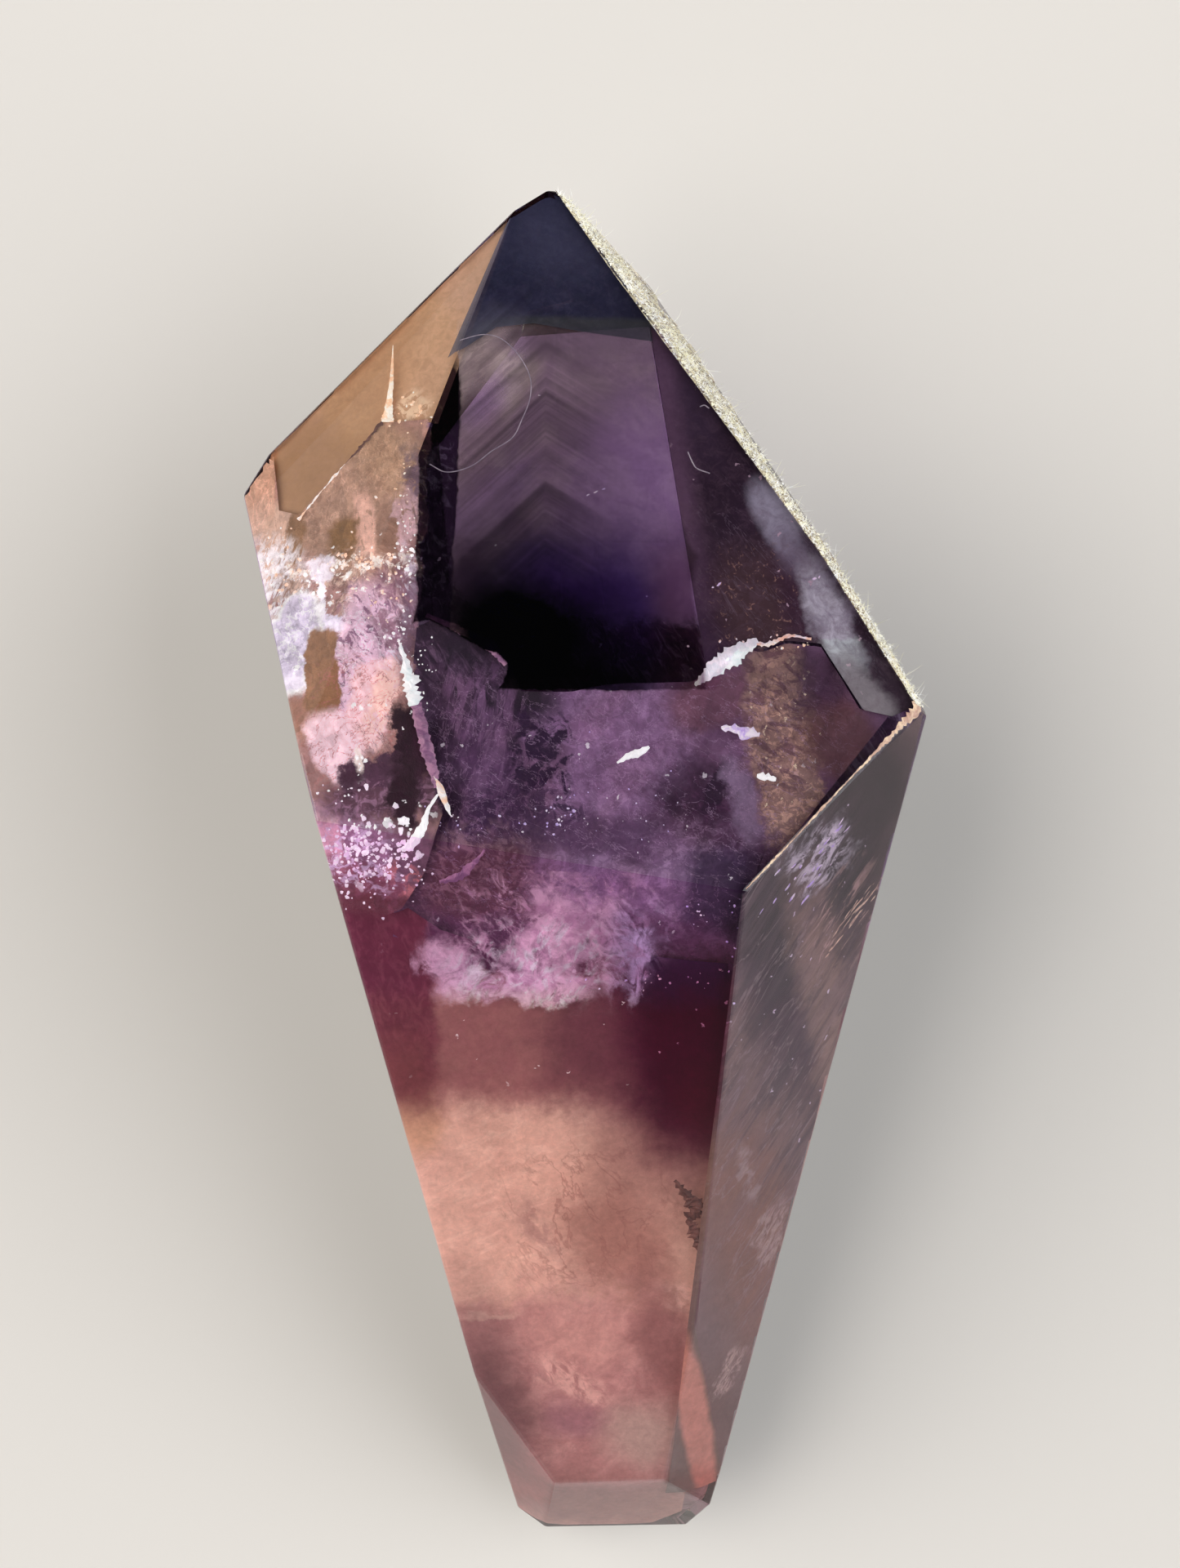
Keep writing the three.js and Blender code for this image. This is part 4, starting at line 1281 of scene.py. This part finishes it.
# %% Inside of the back and the sides
SKIN = [
    ("plum", (0, 12, 30, 13.5, 0, 8, 0.1, 3.0), None, (84, 54, 90)),
    ("plum_cloud", (0, 10, 30, 14, 0, 8, 0.1, 2.4), ("cloud", 0.22, 1.0, 1.4, 30, 0.5, 0.16),
     (116, 82, 122), 0.7),
    ("plum_dark", (0, 12, 30, 12, 0, 8, 0.1, 2.4), ("cloud", 0.3, 1.0, 1.6, 70, 0.54, 0.12), (50, 28, 56),
     0.7),
    ("icy", (-17, 10, 7, 6, 0, 3, 0.5, 4.0), ("cloud", 0.5, 1.4, 0.8, 20, 0.54, 0.12), (176, 156, 180),
     0.6),
    ("tan", (12, 8, 6, 5, 0, 3, 0.6, 4.0), ("cloud", 0.5, 1.2, 0.8, 50, 0.52, 0.14), (136, 110, 104),
     0.5),
    ("icy_wisps", (0, 10, 30, 12, 0, 6, 0.2, 2.0), ("cloud", 0.7, 2.2, 0.7, 25, 0.57, 0.08),
     (178, 156, 186), 0.45),
    ("cloud", (0, -3.6, 30, 3.4, 0, 6, 0.5, 4.0), ("cloud", 0.4, 1.0, 1.2, 0, 0.5, 0.14), (176, 140, 166),
     0.8),
    ("burgundy", (0, -9.5, 30, 5.2, 0, 8, 0.3, 4.0), None, (98, 44, 62)),
    ("burgundy_cloud", (0, -9.5, 30, 5.2, 0, 8, 0.3, 4.0), ("cloud", 0.3, 1.0, 1.0, 15, 0.5, 0.16),
     (130, 74, 86), 0.7),
    ("pale", (0, -22, 30, 8, 0, 8, 0.3, 4.0), None, (176, 136, 128)),
    ("pale_cloud", (0, -22, 30, 8, 0, 8, 0.3, 4.0), ("cloud", 0.2, 1.0, 1.0, 40, 0.5, 0.16),
     (194, 156, 146), 0.8),
    ("pale_shade", (0, -22, 30, 10, 0, 8, 0.2, 2.6), ("cloud", 0.5, 1.8, 0.7, 40, 0.56, 0.1),
     (148, 108, 104), 0.45),
    ("low", (0, -37, 30, 8, 0, 8, 0.3, 4.0), None, (160, 116, 118)),
    ("low_cloud", (0, -37, 30, 8, 0, 8, 0.3, 4.0), ("cloud", 0.2, 1.0, 1.0, 10, 0.5, 0.16),
     (184, 140, 140), 0.8),
    # painted glints: bright specks, as if small broken faces caught the lamps
    ("glints", (0, 2, 30, 14, 0, 6, 0.2, 2.0), ("painted_glints", 1.6, 0.04), (220, 208, 226), 0.8),
    ("window", (-0.6, 25.5, 9.8, 17.0, 0, 6, 0.04, 1.6), None, None, 1, 0.0),
    ("head_end", (0, 40, 40, 17.5, 0, 8, 0.05, 4.0), None, None, 1, 0.0),
]
# Its chips paint light and shade on the small broken faces.
skin_finish = veil_material("inner_skin", ((150, 110, 120), 1.0), SKIN, rough=0.55, bump=(0.6, 1.0),
                            gloss=0.25, mottled=0.25, chips=(0.35, 1.2, 0.8, 30, 0.12), slant=0.35)

SKIN_TURN = (40, 322)
SKIN_DEPTH, SKIN_GAP = 0.9, 2.3
SKIN_ROWS, SKIN_COLUMNS = 170, 180
HEART_HEAD, HEART_RUN = np.array([0.0, 26, 16.5]), np.array([1.0, -70.4, -9.5])
LEAST_SLOPE = 1e-6


def inner_skin():
    """A skin inside the back and side flats. From a line down the middle of the stone, a ray in each
    direction stops where it first meets a flat; the points are then moved back until each lies inside all
    flats by the depth, and under the roof by the gap."""
    share = np.linspace(0, 1, SKIN_ROWS)[:, None, None]
    turn = np.radians(np.linspace(*SKIN_TURN, SKIN_COLUMNS))[None, :]
    heart = HEART_HEAD + HEART_RUN * share
    way = np.stack([np.sin(turn), 0 * turn, np.cos(turn)], axis=-1)
    slope = way @ FLAT_NORMALS.T
    room = FLAT_REACHES - heart @ FLAT_NORMALS.T
    length = np.where(slope > LEAST_SLOPE, room / np.maximum(slope, LEAST_SLOPE), np.inf).min(axis=-1)
    places = kept_inside((heart + way * length[..., None]).reshape(-1, 3), SKIN_DEPTH)
    places[:, 2] = np.minimum(places[:, 2], roof_height(places[:, 0], places[:, 1]) - SKIN_GAP)
    piece_from("inner_skin", places, grid_faces(SKIN_ROWS, SKIN_COLUMNS), skin_finish)


inner_skin()

# %% [markdown]
# Slivers, threads and chips catch the light one by one. They could be drawn in the pattern of a sheet, but
# real edges give real glints. Each kind is one function that works out all of its points as whole arrays.

# %% Small pieces
def smooth_line(points, count):
    """A line through the points with rounded bends: Catmull-Rom pieces worked out all at once."""
    p = np.array(points, float)
    p = np.vstack([2 * p[0] - p[1], p, 2 * p[-1] - p[-2]])
    at = np.linspace(0, len(points) - 1 - 1e-9, count)
    i, t = at.astype(int), (at % 1)[:, None]
    a, b, c, d = p[i], p[i + 1], p[i + 2], p[i + 3]
    square, cube = 2 * a - 5 * b + 4 * c - d, 3 * b - a - 3 * c + d
    return 0.5 * (2 * b + (c - a) * t + square * t ** 2 + cube * t ** 3)


def under_roof(x, y, depth):
    return np.stack([x, y, roof_height(x, y) - depth], axis=-1)


# %% Shape of a sliver
SLIVER_STEP, LEAST_STEPS = 0.15, 6
SLIVER_RISE = np.array([0.0, 0.6, 1.0, 0.6, 0.0])
RISE_SHARE, RISE_RANGE = 0.3, (0.3, 1.0)


def splinter(name, path, widths, depth, material, seed, ragged):
    """A sliver along a path: five points across at each step, the middle ones raised, with uneven edges."""
    count = max(int(steps_of(path).sum() / SLIVER_STEP), LEAST_STEPS)
    line = smooth_line(path, count)
    width = np.interp(np.linspace(0, 1, count), np.linspace(0, 1, len(widths)), widths)
    ahead = unit(np.gradient(line, axis=0))
    side = np.stack([-ahead[:, 1], ahead[:, 0]], axis=-1)
    draw = np.random.default_rng(seed)
    points = len(SLIVER_RISE)
    across = np.linspace(-0.5, 0.5, points)[None, :] * (1 + ragged * draw.uniform(-1, 1, (count, points)))
    plan = line[:, None] + side[:, None] * (across * width[:, None])[..., None]
    rise = SLIVER_RISE[None] * RISE_SHARE * width[:, None] * draw.uniform(*RISE_RANGE, (count, points))
    places = under_roof(plan[..., 0], plan[..., 1], depth - rise)
    piece_from(name, places.reshape(-1, 3), grid_faces(count, points), material, smooth=False)


# %% Shape of a thread
RING = 6
THREAD_LIFT = 0.03


def thread(name, path, radius, count, material):
    """A round thread: a ring of six points round each step of the path, on or over the surface."""
    line = smooth_line(path, count)
    middle_line = under_roof(line[:, 0], line[:, 1], -THREAD_LIFT)
    ahead = unit(np.gradient(middle_line, axis=0))
    side = unit(np.cross(ahead, [0, 0, 1.0]))
    up = np.cross(side, ahead)
    angle = np.linspace(0, 2 * np.pi, RING, endpoint=False)
    ring = np.cos(angle)[None, :, None] * side[:, None] + np.sin(angle)[None, :, None] * up[:, None]
    places = (middle_line[:, None] + radius * ring).reshape(-1, 3)
    row = np.arange(count - 1)[:, None] * RING
    spot = np.arange(RING)[None, :]
    after = (spot + 1) % RING
    sides = np.stack([row + spot, row + RING + spot, row + RING + after, row + after], axis=-1)
    caps = [list(range(RING - 1, -1, -1)), list(range(RING * (count - 1), RING * count))]
    piece_from(name, places, list(sides.reshape(-1, 4)) + caps, material)


# %% Shape of the flakes
CORNERS = 6
CORNER_SWING, CORNER_REACH = 0.35, (0.6, 1.0)
LEAST_DEPTH, FLAKE_MARGIN, HEART_RISE = 0.08, 0.05, 0.04


def flakes(name, places, sizes, turns, depths, material, seed, tilt=0.5):
    """Many small flat chips. Each has six corners at uneven distances from its middle, is turned by its own
    angle, and is tipped by its own slope."""
    draw = np.random.default_rng(seed)
    places, sizes, depths = (np.asarray(given, float) for given in (places, sizes, depths))
    count = len(places)
    swing = draw.uniform(-CORNER_SWING, CORNER_SWING, (count, CORNERS))
    angle = np.linspace(0, 2 * np.pi, CORNERS, endpoint=False)[None, :] + swing
    reach = draw.uniform(*CORNER_REACH, (count, CORNERS))
    u, v = np.cos(angle) * reach * sizes[:, :1] / 2, np.sin(angle) * reach * sizes[:, 1:] / 2
    turn = np.radians(np.asarray(turns, float))[:, None]
    dx, dy = u * np.cos(turn) - v * np.sin(turn), u * np.sin(turn) + v * np.cos(turn)
    x, y = places[:, :1] + dx, places[:, 1:] + dy
    slope = draw.uniform(-tilt, tilt, (count, 2))
    depth = depths[:, None] + slope[:, :1] * dx + slope[:, 1:] * dy
    inside = depths.min() > 0
    corners = under_roof(x, y, np.maximum(depth, LEAST_DEPTH) if inside else depth)
    heart = corners.mean(axis=1, keepdims=True) + np.array([0, 0, HEART_RISE])
    points = np.concatenate([corners, heart], axis=1).reshape(-1, 3)
    if inside:
        points = kept_inside(points, FLAKE_MARGIN)
    base = np.arange(count)[:, None, None] * (CORNERS + 1)
    spot = np.arange(CORNERS)
    fan = np.stack([spot, (spot + 1) % CORNERS, np.full(CORNERS, CORNERS)], axis=-1)[None]
    piece_from(name, points, (base + fan).reshape(-1, 3), material, smooth=False)


# %% Finish of the small pieces
CRUMB_PATCHES = ("cloud", 1.1, 1.0, 1.0, 0, 0.5, 0.1)
CRUMB_MOTTLE = 0.2


def crumb_material(name, tone, second, glow, rough=0.3):
    material, tree, shader = new_material(name)
    place, _, mottle = stone_place(tree)
    patches = pattern_mask(tree, place, CRUMB_PATCHES)
    colour = blend_colour(tree, patches, sheet_tint(*tone), sheet_tint(*second))
    lit = vector_node(tree, "MULTIPLY", colour, uneven_light(tree, mottle, CRUMB_MOTTLE))
    feed_all(tree, shader, Base_Color=lit, Emission_Color=lit, Emission_Strength=glow, Roughness=rough)
    return material


# The glow of these crumbs is painted light: emission that makes the ice, mint, lilac, cream, bead and lint
# pieces shine like glints, though they are no lamps.
ICE = crumb_material("ice_white", (238, 240, 246), (206, 200, 226), glow=0.35)
MINT = crumb_material("ice_mint", (240, 238, 242), (186, 194, 194), glow=0.25)
LILAC = crumb_material("ice_lilac", (206, 190, 226), (160, 138, 190), glow=0.15)
CREAM = crumb_material("ice_cream", (240, 218, 200), (206, 164, 140), glow=0.25)
ROSE = crumb_material("rose_quartz", (158, 116, 142), (118, 82, 112), glow=0.0)
BEAD = crumb_material("ice_bead", (236, 226, 244), (200, 182, 218), glow=0.3)
DARK = crumb_material("dark_crack", (64, 38, 40), (96, 62, 60), rough=0.6, glow=0.0)
HAIR = crumb_material("hair", (122, 112, 122), (90, 80, 94), rough=0.5, glow=0.0)
LINT = crumb_material("lint", (240, 234, 220), (206, 196, 174), rough=0.9, glow=0.1)
# This tan serves the tan streaks and the worn ridge; on the ridge its pale line is partly wear and partly a
# painted edge highlight.
WORN_TAN_AND_HIGHLIGHT = crumb_material("worn_tan_and_highlight", (206, 176, 152), (164, 132, 118), rough=0.6, glow=0.0)

# %% [markdown]
# These are the long cracks: a mint-white ribbon with its branches, a white shard at the window's corner,
# dark and light fissures, and the worn ridge on the right, whose pale tan line is partly wear and partly a
# painted edge highlight. Each follows a path seen from above, at a small depth, and has a list of widths
# along it.

# %% Slivers
FIRST_SEED = 31
# name, path, widths along it, depth, material, how ragged its edges are
SLIVERS = [
    ("mint_ribbon", [(-11.3, 15.8), (-10.9, 14.6), (-10.5, 13.2), (-10.1, 11.7)], [0.08, 0.3, 0.9, 0.65],
     0.3, MINT, 0.6),
    ("ribbon_middle", [(-10.1, 11.8), (-9.8, 10.4), (-9.4, 9.0), (-9.0, 7.6), (-8.8, 6.6)],
     [0.6, 0.75, 0.8, 0.6, 0.3], 0.35, ROSE, 0.25),
    ("ribbon_foot", [(-9.0, 7.4), (-8.5, 6.4), (-8.1, 5.4), (-7.9, 4.9)], [0.15, 0.45, 0.3, 0.05], 0.3,
     CREAM, 0.25),
    ("ribbon_branch", [(-8.7, 6.2), (-9.3, 5.2), (-9.6, 4.2), (-10.3, 3.2), (-10.9, 2.9)],
     [0.12, 0.25, 0.5, 0.7, 0.2], 0.3, ICE, 0.25),
    ("white_shard", [(7.2, 12.95), (8.3, 13.9), (9.7, 14.9), (11.2, 15.8)], [0.2, 1.0, 1.25, 0.4], 0.3,
     MINT, 0.3),
    ("shard_tail", [(10.9, 15.6), (12.0, 15.6), (13.2, 16.1), (14.6, 15.9)], [0.2, 0.3, 0.2, 0.15], 0.3,
     CREAM, 0.6),
    ("spike", [(-12.3, 29.9), (-12.2, 31.2), (-12.1, 33.0), (-12.1, 35.2)], [0.9, 0.45, 0.25, 0.04], 0.5,
     CREAM, 0.15),
    ("crack_dark", [(-14.9, 27.3), (-14.0, 28.3), (-13.3, 29.1), (-12.6, 29.9)], [0.05, 0.2, 0.16, 0.26],
     0.5, DARK, 0.7),
    ("crack_light", [(-18.0, 23.6), (-17.2, 24.6), (-16.2, 25.8), (-15.0, 27.2)],
     [0.22, 0.05, 0.13, 0.04, 0.15, 0.05], 0.5, CREAM, 0.9),
    ("mauve_ridge", [(-9.6, 17.3), (-8.2, 16.7), (-6.8, 16.0), (-5.4, 15.2), (-4.6, 14.2)],
     [0.25, 0.4, 0.5, 0.7, 0.3], 0.5, ROSE, 0.25),
    ("side_crack",
     [(6.1, -18.7), (6.8, -19.6), (7.5, -20.5), (7.1, -21.5), (7.5, -22.5), (7.8, -23.6), (7.6, -25.0)],
     [0.15, 0.6, 1.1, 0.5, 0.8, 0.4, 0.08], 0.5, DARK, 0.8),
    # worn, chipped ridge, partly a painted edge highlight
    ("worn_ridge_and_highlight", [(21.4, 11.7), (18.6, 8.9), (15.8, 6.1), (12.9, 3.1), (10.2, 0.4)],
     [0.7, 0.3, 0.16, 0.06, 0.13, 0.04, 0.15, 0.05], 0.0, WORN_TAN_AND_HIGHLIGHT, 0.7),
    ("grey_flake", [(2.3, 8.1), (3.0, 8.5), (3.6, 8.7), (4.3, 9.1)], [0.12, 0.4, 0.6, 0.15], 0.4, ICE,
     0.25),
    ("lilac_flake", [(8.8, 10.3), (9.6, 10.2), (10.4, 10.0), (11.2, 9.8)], [0.2, 0.6, 0.8, 0.3], 0.4,
     LILAC, 0.5),
    ("white_flake", [(11.0, 7.3), (11.6, 7.2), (12.2, 7.1)], [0.2, 0.55, 0.2], 0.4, ICE, 0.5),
    ("cloud_sliver", [(-8.6, 0.9), (-7.6, 1.2), (-6.6, 1.9), (-5.8, 2.9)], [0.15, 0.5, 0.45, 0.1], 0.4,
     ROSE, 0.5),
]
for seed, (name, path, widths, depth, material, ragged) in enumerate(SLIVERS, start=FIRST_SEED):
    splinter(name, path, widths, depth, material, seed, ragged)

# %% [markdown]
# A hair in a loop and two short curls lie on the polished front, as on the real stone. A curve with a bevel
# could be a thread too; a ring of six points carried along the path is lighter, and lies exactly on the
# flats.

# %% Threads
thread("hair_loop",
       [(-7.7, 35.2), (-6.2, 35.6), (-5.0, 35.3), (-3.9, 34.2), (-3.2, 32.8), (-3.2, 31.4), (-3.7, 30.0),
        (-4.3, 28.8), (-5.6, 27.9), (-6.9, 26.9), (-8.4, 26.5), (-9.5, 27.0)], 0.03, 120, HAIR)
thread("curl_a", [(6.9, 28.0), (7.2, 27.3), (7.5, 26.9), (8.3, 26.6)], 0.04, 30, HAIR)
thread("curl_b", [(7.7, 31.0), (8.0, 31.1), (8.3, 30.9)], 0.04, 12, HAIR)

# %% [markdown]
# Crushed grains sparkle along the fractures. Placing them one by one would take for ever, so they are
# strewn round chosen places with a seeded spread, which gives the same grains each time. Each has six
# triangles.

# %% Flakes
EVENNESS = (0.5, 1.0)
STREAK_DEPTHS, STREAK_TILT = (0.2, 0.4), 0.1
draw = np.random.default_rng(77)


def sprinkle(centre, spread, count, size, turn=(0, 180), depth=(0.3, 0.7)):
    """Places strewn round a centre, with a size, a turn and a depth for each."""
    places = np.array(centre) + draw.normal(0, 1, (count, 2)) * np.array(spread)
    sizes = draw.uniform(*size, (count, 1)) * draw.uniform(*EVENNESS, (count, 2))
    return places, sizes, draw.uniform(*turn, count), draw.uniform(*depth, count)


def strewn(name, material, seed, groups):
    """The flakes of several sprinkled groups as one piece."""
    parts = zip(*(sprinkle(*group) for group in groups))
    flakes(name, *(np.concatenate(part) for part in parts), material, seed)


strewn("cluster_flakes", BEAD, 51,
       [((-13.0, 3.0), (1.5, 1.0), 90, (0.25, 0.65), (-40, 10), (0.2, 0.45)),
        ((-12.9, 1.2), (1.8, 0.9), 40, (0.1, 0.35), (-30, 20), (0.2, 0.45)),
        ((-10.7, 2.6), (0.5, 0.6), 16, (0.15, 0.6), (-30, 60)),
        ((-14.6, 6.2), (0.8, 0.5), 16, (0.1, 0.3))])
strewn("cluster_bright", ICE, 52,
       [((-13.3, 2.8), (1.5, 1.1), 60, (0.15, 0.42), (-40, 10), (0.15, 0.4)),
        ((-13.1, 2.4), (1.9, 1.2), 40, (0.12, 0.35), (-40, 10), (0.15, 0.4)),
        ((-13.4, 8.0), (0.25, 0.5), 8, (0.2, 0.5)), ((-16.6, 19.2), (0.5, 0.7), 14, (0.2, 0.6)),
        ((-10.9, 20.0), (0.5, 0.8), 26, (0.12, 0.5)), ((-11.2, 16.6), (0.35, 1.4), 22, (0.1, 0.45)),
        ((-9.9, 13.6), (0.5, 1.6), 26, (0.08, 0.3))])
strewn("rubble_flakes", CREAM, 53,
       [((-14.0, 20.6), (1.9, 0.45), 60, (0.12, 0.5)), ((-19.0, 20.0), (0.8, 1.4), 34, (0.12, 0.5)),
        ((-12.4, 19.0), (1.0, 1.4), 40, (0.1, 0.4)), ((-11.0, 23.0), (0.35, 2.4), 40, (0.1, 0.35)),
        ((-11.2, 30.6), (1.0, 0.7), 22, (0.12, 0.5)), ((12.4, 15.6), (1.8, 0.35), 26, (0.1, 0.35))])
strewn("middle_flakes", LILAC, 54,
       [((-1.4, 4.6), (0.9, 0.5), 24, (0.08, 0.35)), ((2.6, 5.6), (2.6, 2.2), 26, (0.06, 0.24)),
        ((-7.6, 4.4), (1.6, 0.6), 18, (0.08, 0.3)), ((6.0, -5.4), (2.4, 0.3), 20, (0.08, 0.3)),
        ((9.6, -3.2), (0.3, 2.6), 16, (0.08, 0.3)), ((7.2, -1.2), (0.3, 0.4), 8, (0.1, 0.4))])
# x, y, length, width, turn
HEAD_SPECKS = [
    (8.8, 19.4, 0.45, 0.2, 40),
    (8.4, 19.2, 0.2, 0.15, 10),
    (-2.9, 16.0, 0.3, 0.1, 0),
    (-3.6, 15.4, 0.35, 0.12, 20),
    (14.9, 19.8, 0.35, 0.2, 20),
    (15.2, 19.9, 0.3, 0.12, 60),
    (4.2, 18.6, 0.15, 0.1, 0),
    (-5.3, 21.8, 0.2, 0.12, 40),
    (-2.6, 31.6, 0.3, 0.1, 0),
    (1.0, 25.3, 0.5, 0.1, 25),
    (1.5, 25.5, 0.4, 0.08, 20),
    (0.5, 25.1, 0.35, 0.08, 30),
]
SPECK_DEPTH = 0.1
specks = np.array(HEAD_SPECKS)
flakes("head_specks", specks[:, :2], specks[:, 2:4], specks[:, 4], np.full(len(specks), SPECK_DEPTH),
       LILAC, 55)


def streaks(name, count, start, run, spread, length, width, turn, material, seed):
    """Long thin chips strewn along a slanting line: a start, plus a share of its run, plus a small
    spread."""
    at = draw.uniform(0, 1, count)
    parts = [start[axis] + run[axis] * at + draw.normal(0, spread[axis], count) for axis in (0, 1)]
    sizes = np.stack([draw.uniform(*length, count), draw.uniform(*width, count)], axis=-1)
    flakes(name, np.stack(parts, axis=-1), sizes, draw.uniform(*turn, count),
           draw.uniform(*STREAK_DEPTHS, count), material, seed, tilt=STREAK_TILT)


streaks("right_streaks", 26, (11.4, -1.2), (5.6, 5.6), (0.5, 0.7), (0.2, 1.1), (0.06, 0.22), (42, 60),
        LILAC, 56)
streaks("right_tan_streaks", 24, (15.4, -4.2), (3.4, 4.4), (0.25, 0.3), (0.6, 2.0), (0.06, 0.18),
        (46, 58), WORN_TAN_AND_HIGHLIGHT, 57)

# %% [markdown]
# The narrow flats on the right edge are grey-white with dust and lint. A noise texture alone would leave
# the outline clean. So a thin rough coat makes the dust, and short bent fibres and grains make its fluffy
# outline.

# %% Dust on the right edge
DUST = [
    ("patches", None, ("cloud", 0.9, 1.0, 0.7, 40, 0.48, 0.1), (214, 198, 168), 1, 0.85),
    ("lower_part", (15.6, 19.6, 3.4, 9.0, 0, 3, 0.5, 0.8), ("cloud", 1.2, 1.0, 1.0, 0, 0.46, 0.1),
     (170, 150, 118), 0.9, 0.7),
    ("gaps", None, ("cloud", 1.8, 1.0, 1.0, 20, 0.54, 0.05), (104, 86, 76), 0.9, 0.6),
    ("grains", None, ("cloud", 3.0, 1.0, 1.0, 0, 0.56, 0.04), (240, 234, 218), 1, 0.95),
]
# A faint painted glow brightens the dust.
dust_finish = veil_material("edge_dust", ((204, 190, 160), 0.7), DUST, rough=0.9, bump=(0.9, 3.0),
                            gloss=0.1, mottled=0.4, painted_glow=0.05)

EDGE_LINE = [(-1.6, 45.5), (3.0, 38.9), (7.6, 32.4), (12.2, 25.9), (15.4, 21.4), (18.4, 16.4), (21.2, 11.8)]
RIM_LINE = [(-0.2, 44.8), (4.8, 40.0), (9.0, 33.6), (13.2, 26.8), (16.4, 21.8), (19.4, 16.8), (21.9, 11.6)]

DUST_ROWS, DUST_COLUMNS = 8, 220
# How far the coat reaches from the edge to the rim, at shares of the way from the tip to the shoulder.
DUST_PLACES, DUST_REACHES = (0, 0.1, 0.34, 0.5, 1), (0.7, 0.95, 0.95, 0.7, 0.66)
DUST_RIPPLE, DUST_WAVE = 0.12, 2.5
DUST_OVERLAP, LEAST_REACH = 0.06, 0.25
DUST_LIFT, DUST_GRAIN = 0.03, 0.05


def dust_strip():
    """A thin rough coat on the narrow right flats: straight lines from the front edge to the rim, lifted by
    the smallest height that keeps it off the glass, plus noise."""
    shares = np.linspace(0, 1, DUST_COLUMNS)
    top, rim = along_line(EDGE_LINE, shares), along_line(RIM_LINE, shares)
    reach = np.interp(shares, DUST_PLACES, DUST_REACHES)
    reach += DUST_RIPPLE * ripple(top[:, 0], top[:, 1], DUST_WAVE, 60)
    down = np.linspace(-DUST_OVERLAP, 1.0, DUST_ROWS)[:, None]
    fall = (down * np.clip(reach, LEAST_REACH, 1.0)[None])[..., None]
    plan = between(top[None], rim[None], fall)
    x, y = plan[..., 0], plan[..., 1]
    draw = np.random.default_rng(61)
    places = under_roof(x, y, -DUST_LIFT - DUST_GRAIN * draw.uniform(0, 1, x.shape))
    piece_from("edge_dust", places.reshape(-1, 3), grid_faces(DUST_ROWS, DUST_COLUMNS), dust_finish,
               smooth=False)


dust_strip()

# %% Lint and grains
OUTWARD = np.array([0.77, 0.60, 0.24])
LEAST_OUTWARD = 0.15
# Beta curves: how the lint thins out down the edge, and how the grains thin out across it.
LINT_FALL, GRAIN_FALL = (1.0, 1.1), (1.2, 2.4)
# The mean and the spread of the three parts of a fibre's way.
FIBRE_WAYS = ((0.55, 0.6), (0.3, 0.7), (0.1, 0.5))
FIBRE_STEPS = 4
ROOT_SPREAD, ROOT_LIFT = 0.05, 0.01
FIBRE_BEND, FIBRE_TAPER = 0.5, 0.8


def on_edge(share, across):
    """Places on the dusty flats: a share of the way down them, and a share of the way across."""
    return between(along_line(EDGE_LINE, share), along_line(RIM_LINE, share), across)


def fuzz(name, count, length, width, spread, seed, material):
    """Short fibres on the right edge: each is a bent blade of four steps that narrows to its tip."""
    draw = np.random.default_rng(seed)
    share = draw.beta(*LINT_FALL, count)
    across = draw.uniform(*spread, (count, 1))
    root = on_edge(share, across) + draw.normal(0, ROOT_SPREAD, (count, 2))
    base = under_roof(root[:, 0], root[:, 1], -ROOT_LIFT)
    way = unit(np.stack([draw.normal(*part, count) for part in FIBRE_WAYS], axis=-1))
    way += OUTWARD * np.maximum(LEAST_OUTWARD - way @ OUTWARD, 0)[:, None]
    bend = draw.normal(0, FIBRE_BEND, (count, 3))
    reach = draw.uniform(*length, (count, 1))
    step = np.linspace(0, 1, FIBRE_STEPS + 1)[None, :, None]
    straight = way[:, None] * reach[:, None] * step
    bent = bend[:, None] * reach[:, None] * step ** 2 * 0.5
    line = base[:, None] + straight + bent
    side = unit(np.cross(way, draw.normal(0, 1, (count, 3))))
    half = width * (1 - FIBRE_TAPER * step) * side[:, None]
    places = np.stack([line - half, line + half], axis=2).reshape(-1, 3)
    blade = np.arange(count)[:, None] * 2 * (FIBRE_STEPS + 1)
    first = (blade + np.arange(FIBRE_STEPS)[None, :] * 2).ravel()
    faces = np.stack([first, first + 1, first + 3, first + 2], axis=-1)
    piece_from(name, places, faces, material)


fuzz("edge_lint", 2400, (0.15, 0.5), 0.03, (0.02, 0.6), 62, LINT)
fuzz("edge_hairs", 260, (0.4, 1.1), 0.022, (0.3, 1.0), 67, LINT)

GRAINS = 1500
GRAIN_SIZES = (0.06, 0.3)
GRAIN_LIFT = 0.05
grain_draw = np.random.default_rng(63)
share, across = grain_draw.uniform(0, 1, GRAINS), grain_draw.beta(*GRAIN_FALL, (GRAINS, 1))
flakes("edge_grains", on_edge(share, across), grain_draw.uniform(*GRAIN_SIZES, (GRAINS, 2)),
       np.zeros(GRAINS), np.full(GRAINS, -GRAIN_LIFT), LINT, 66, tilt=0.6)
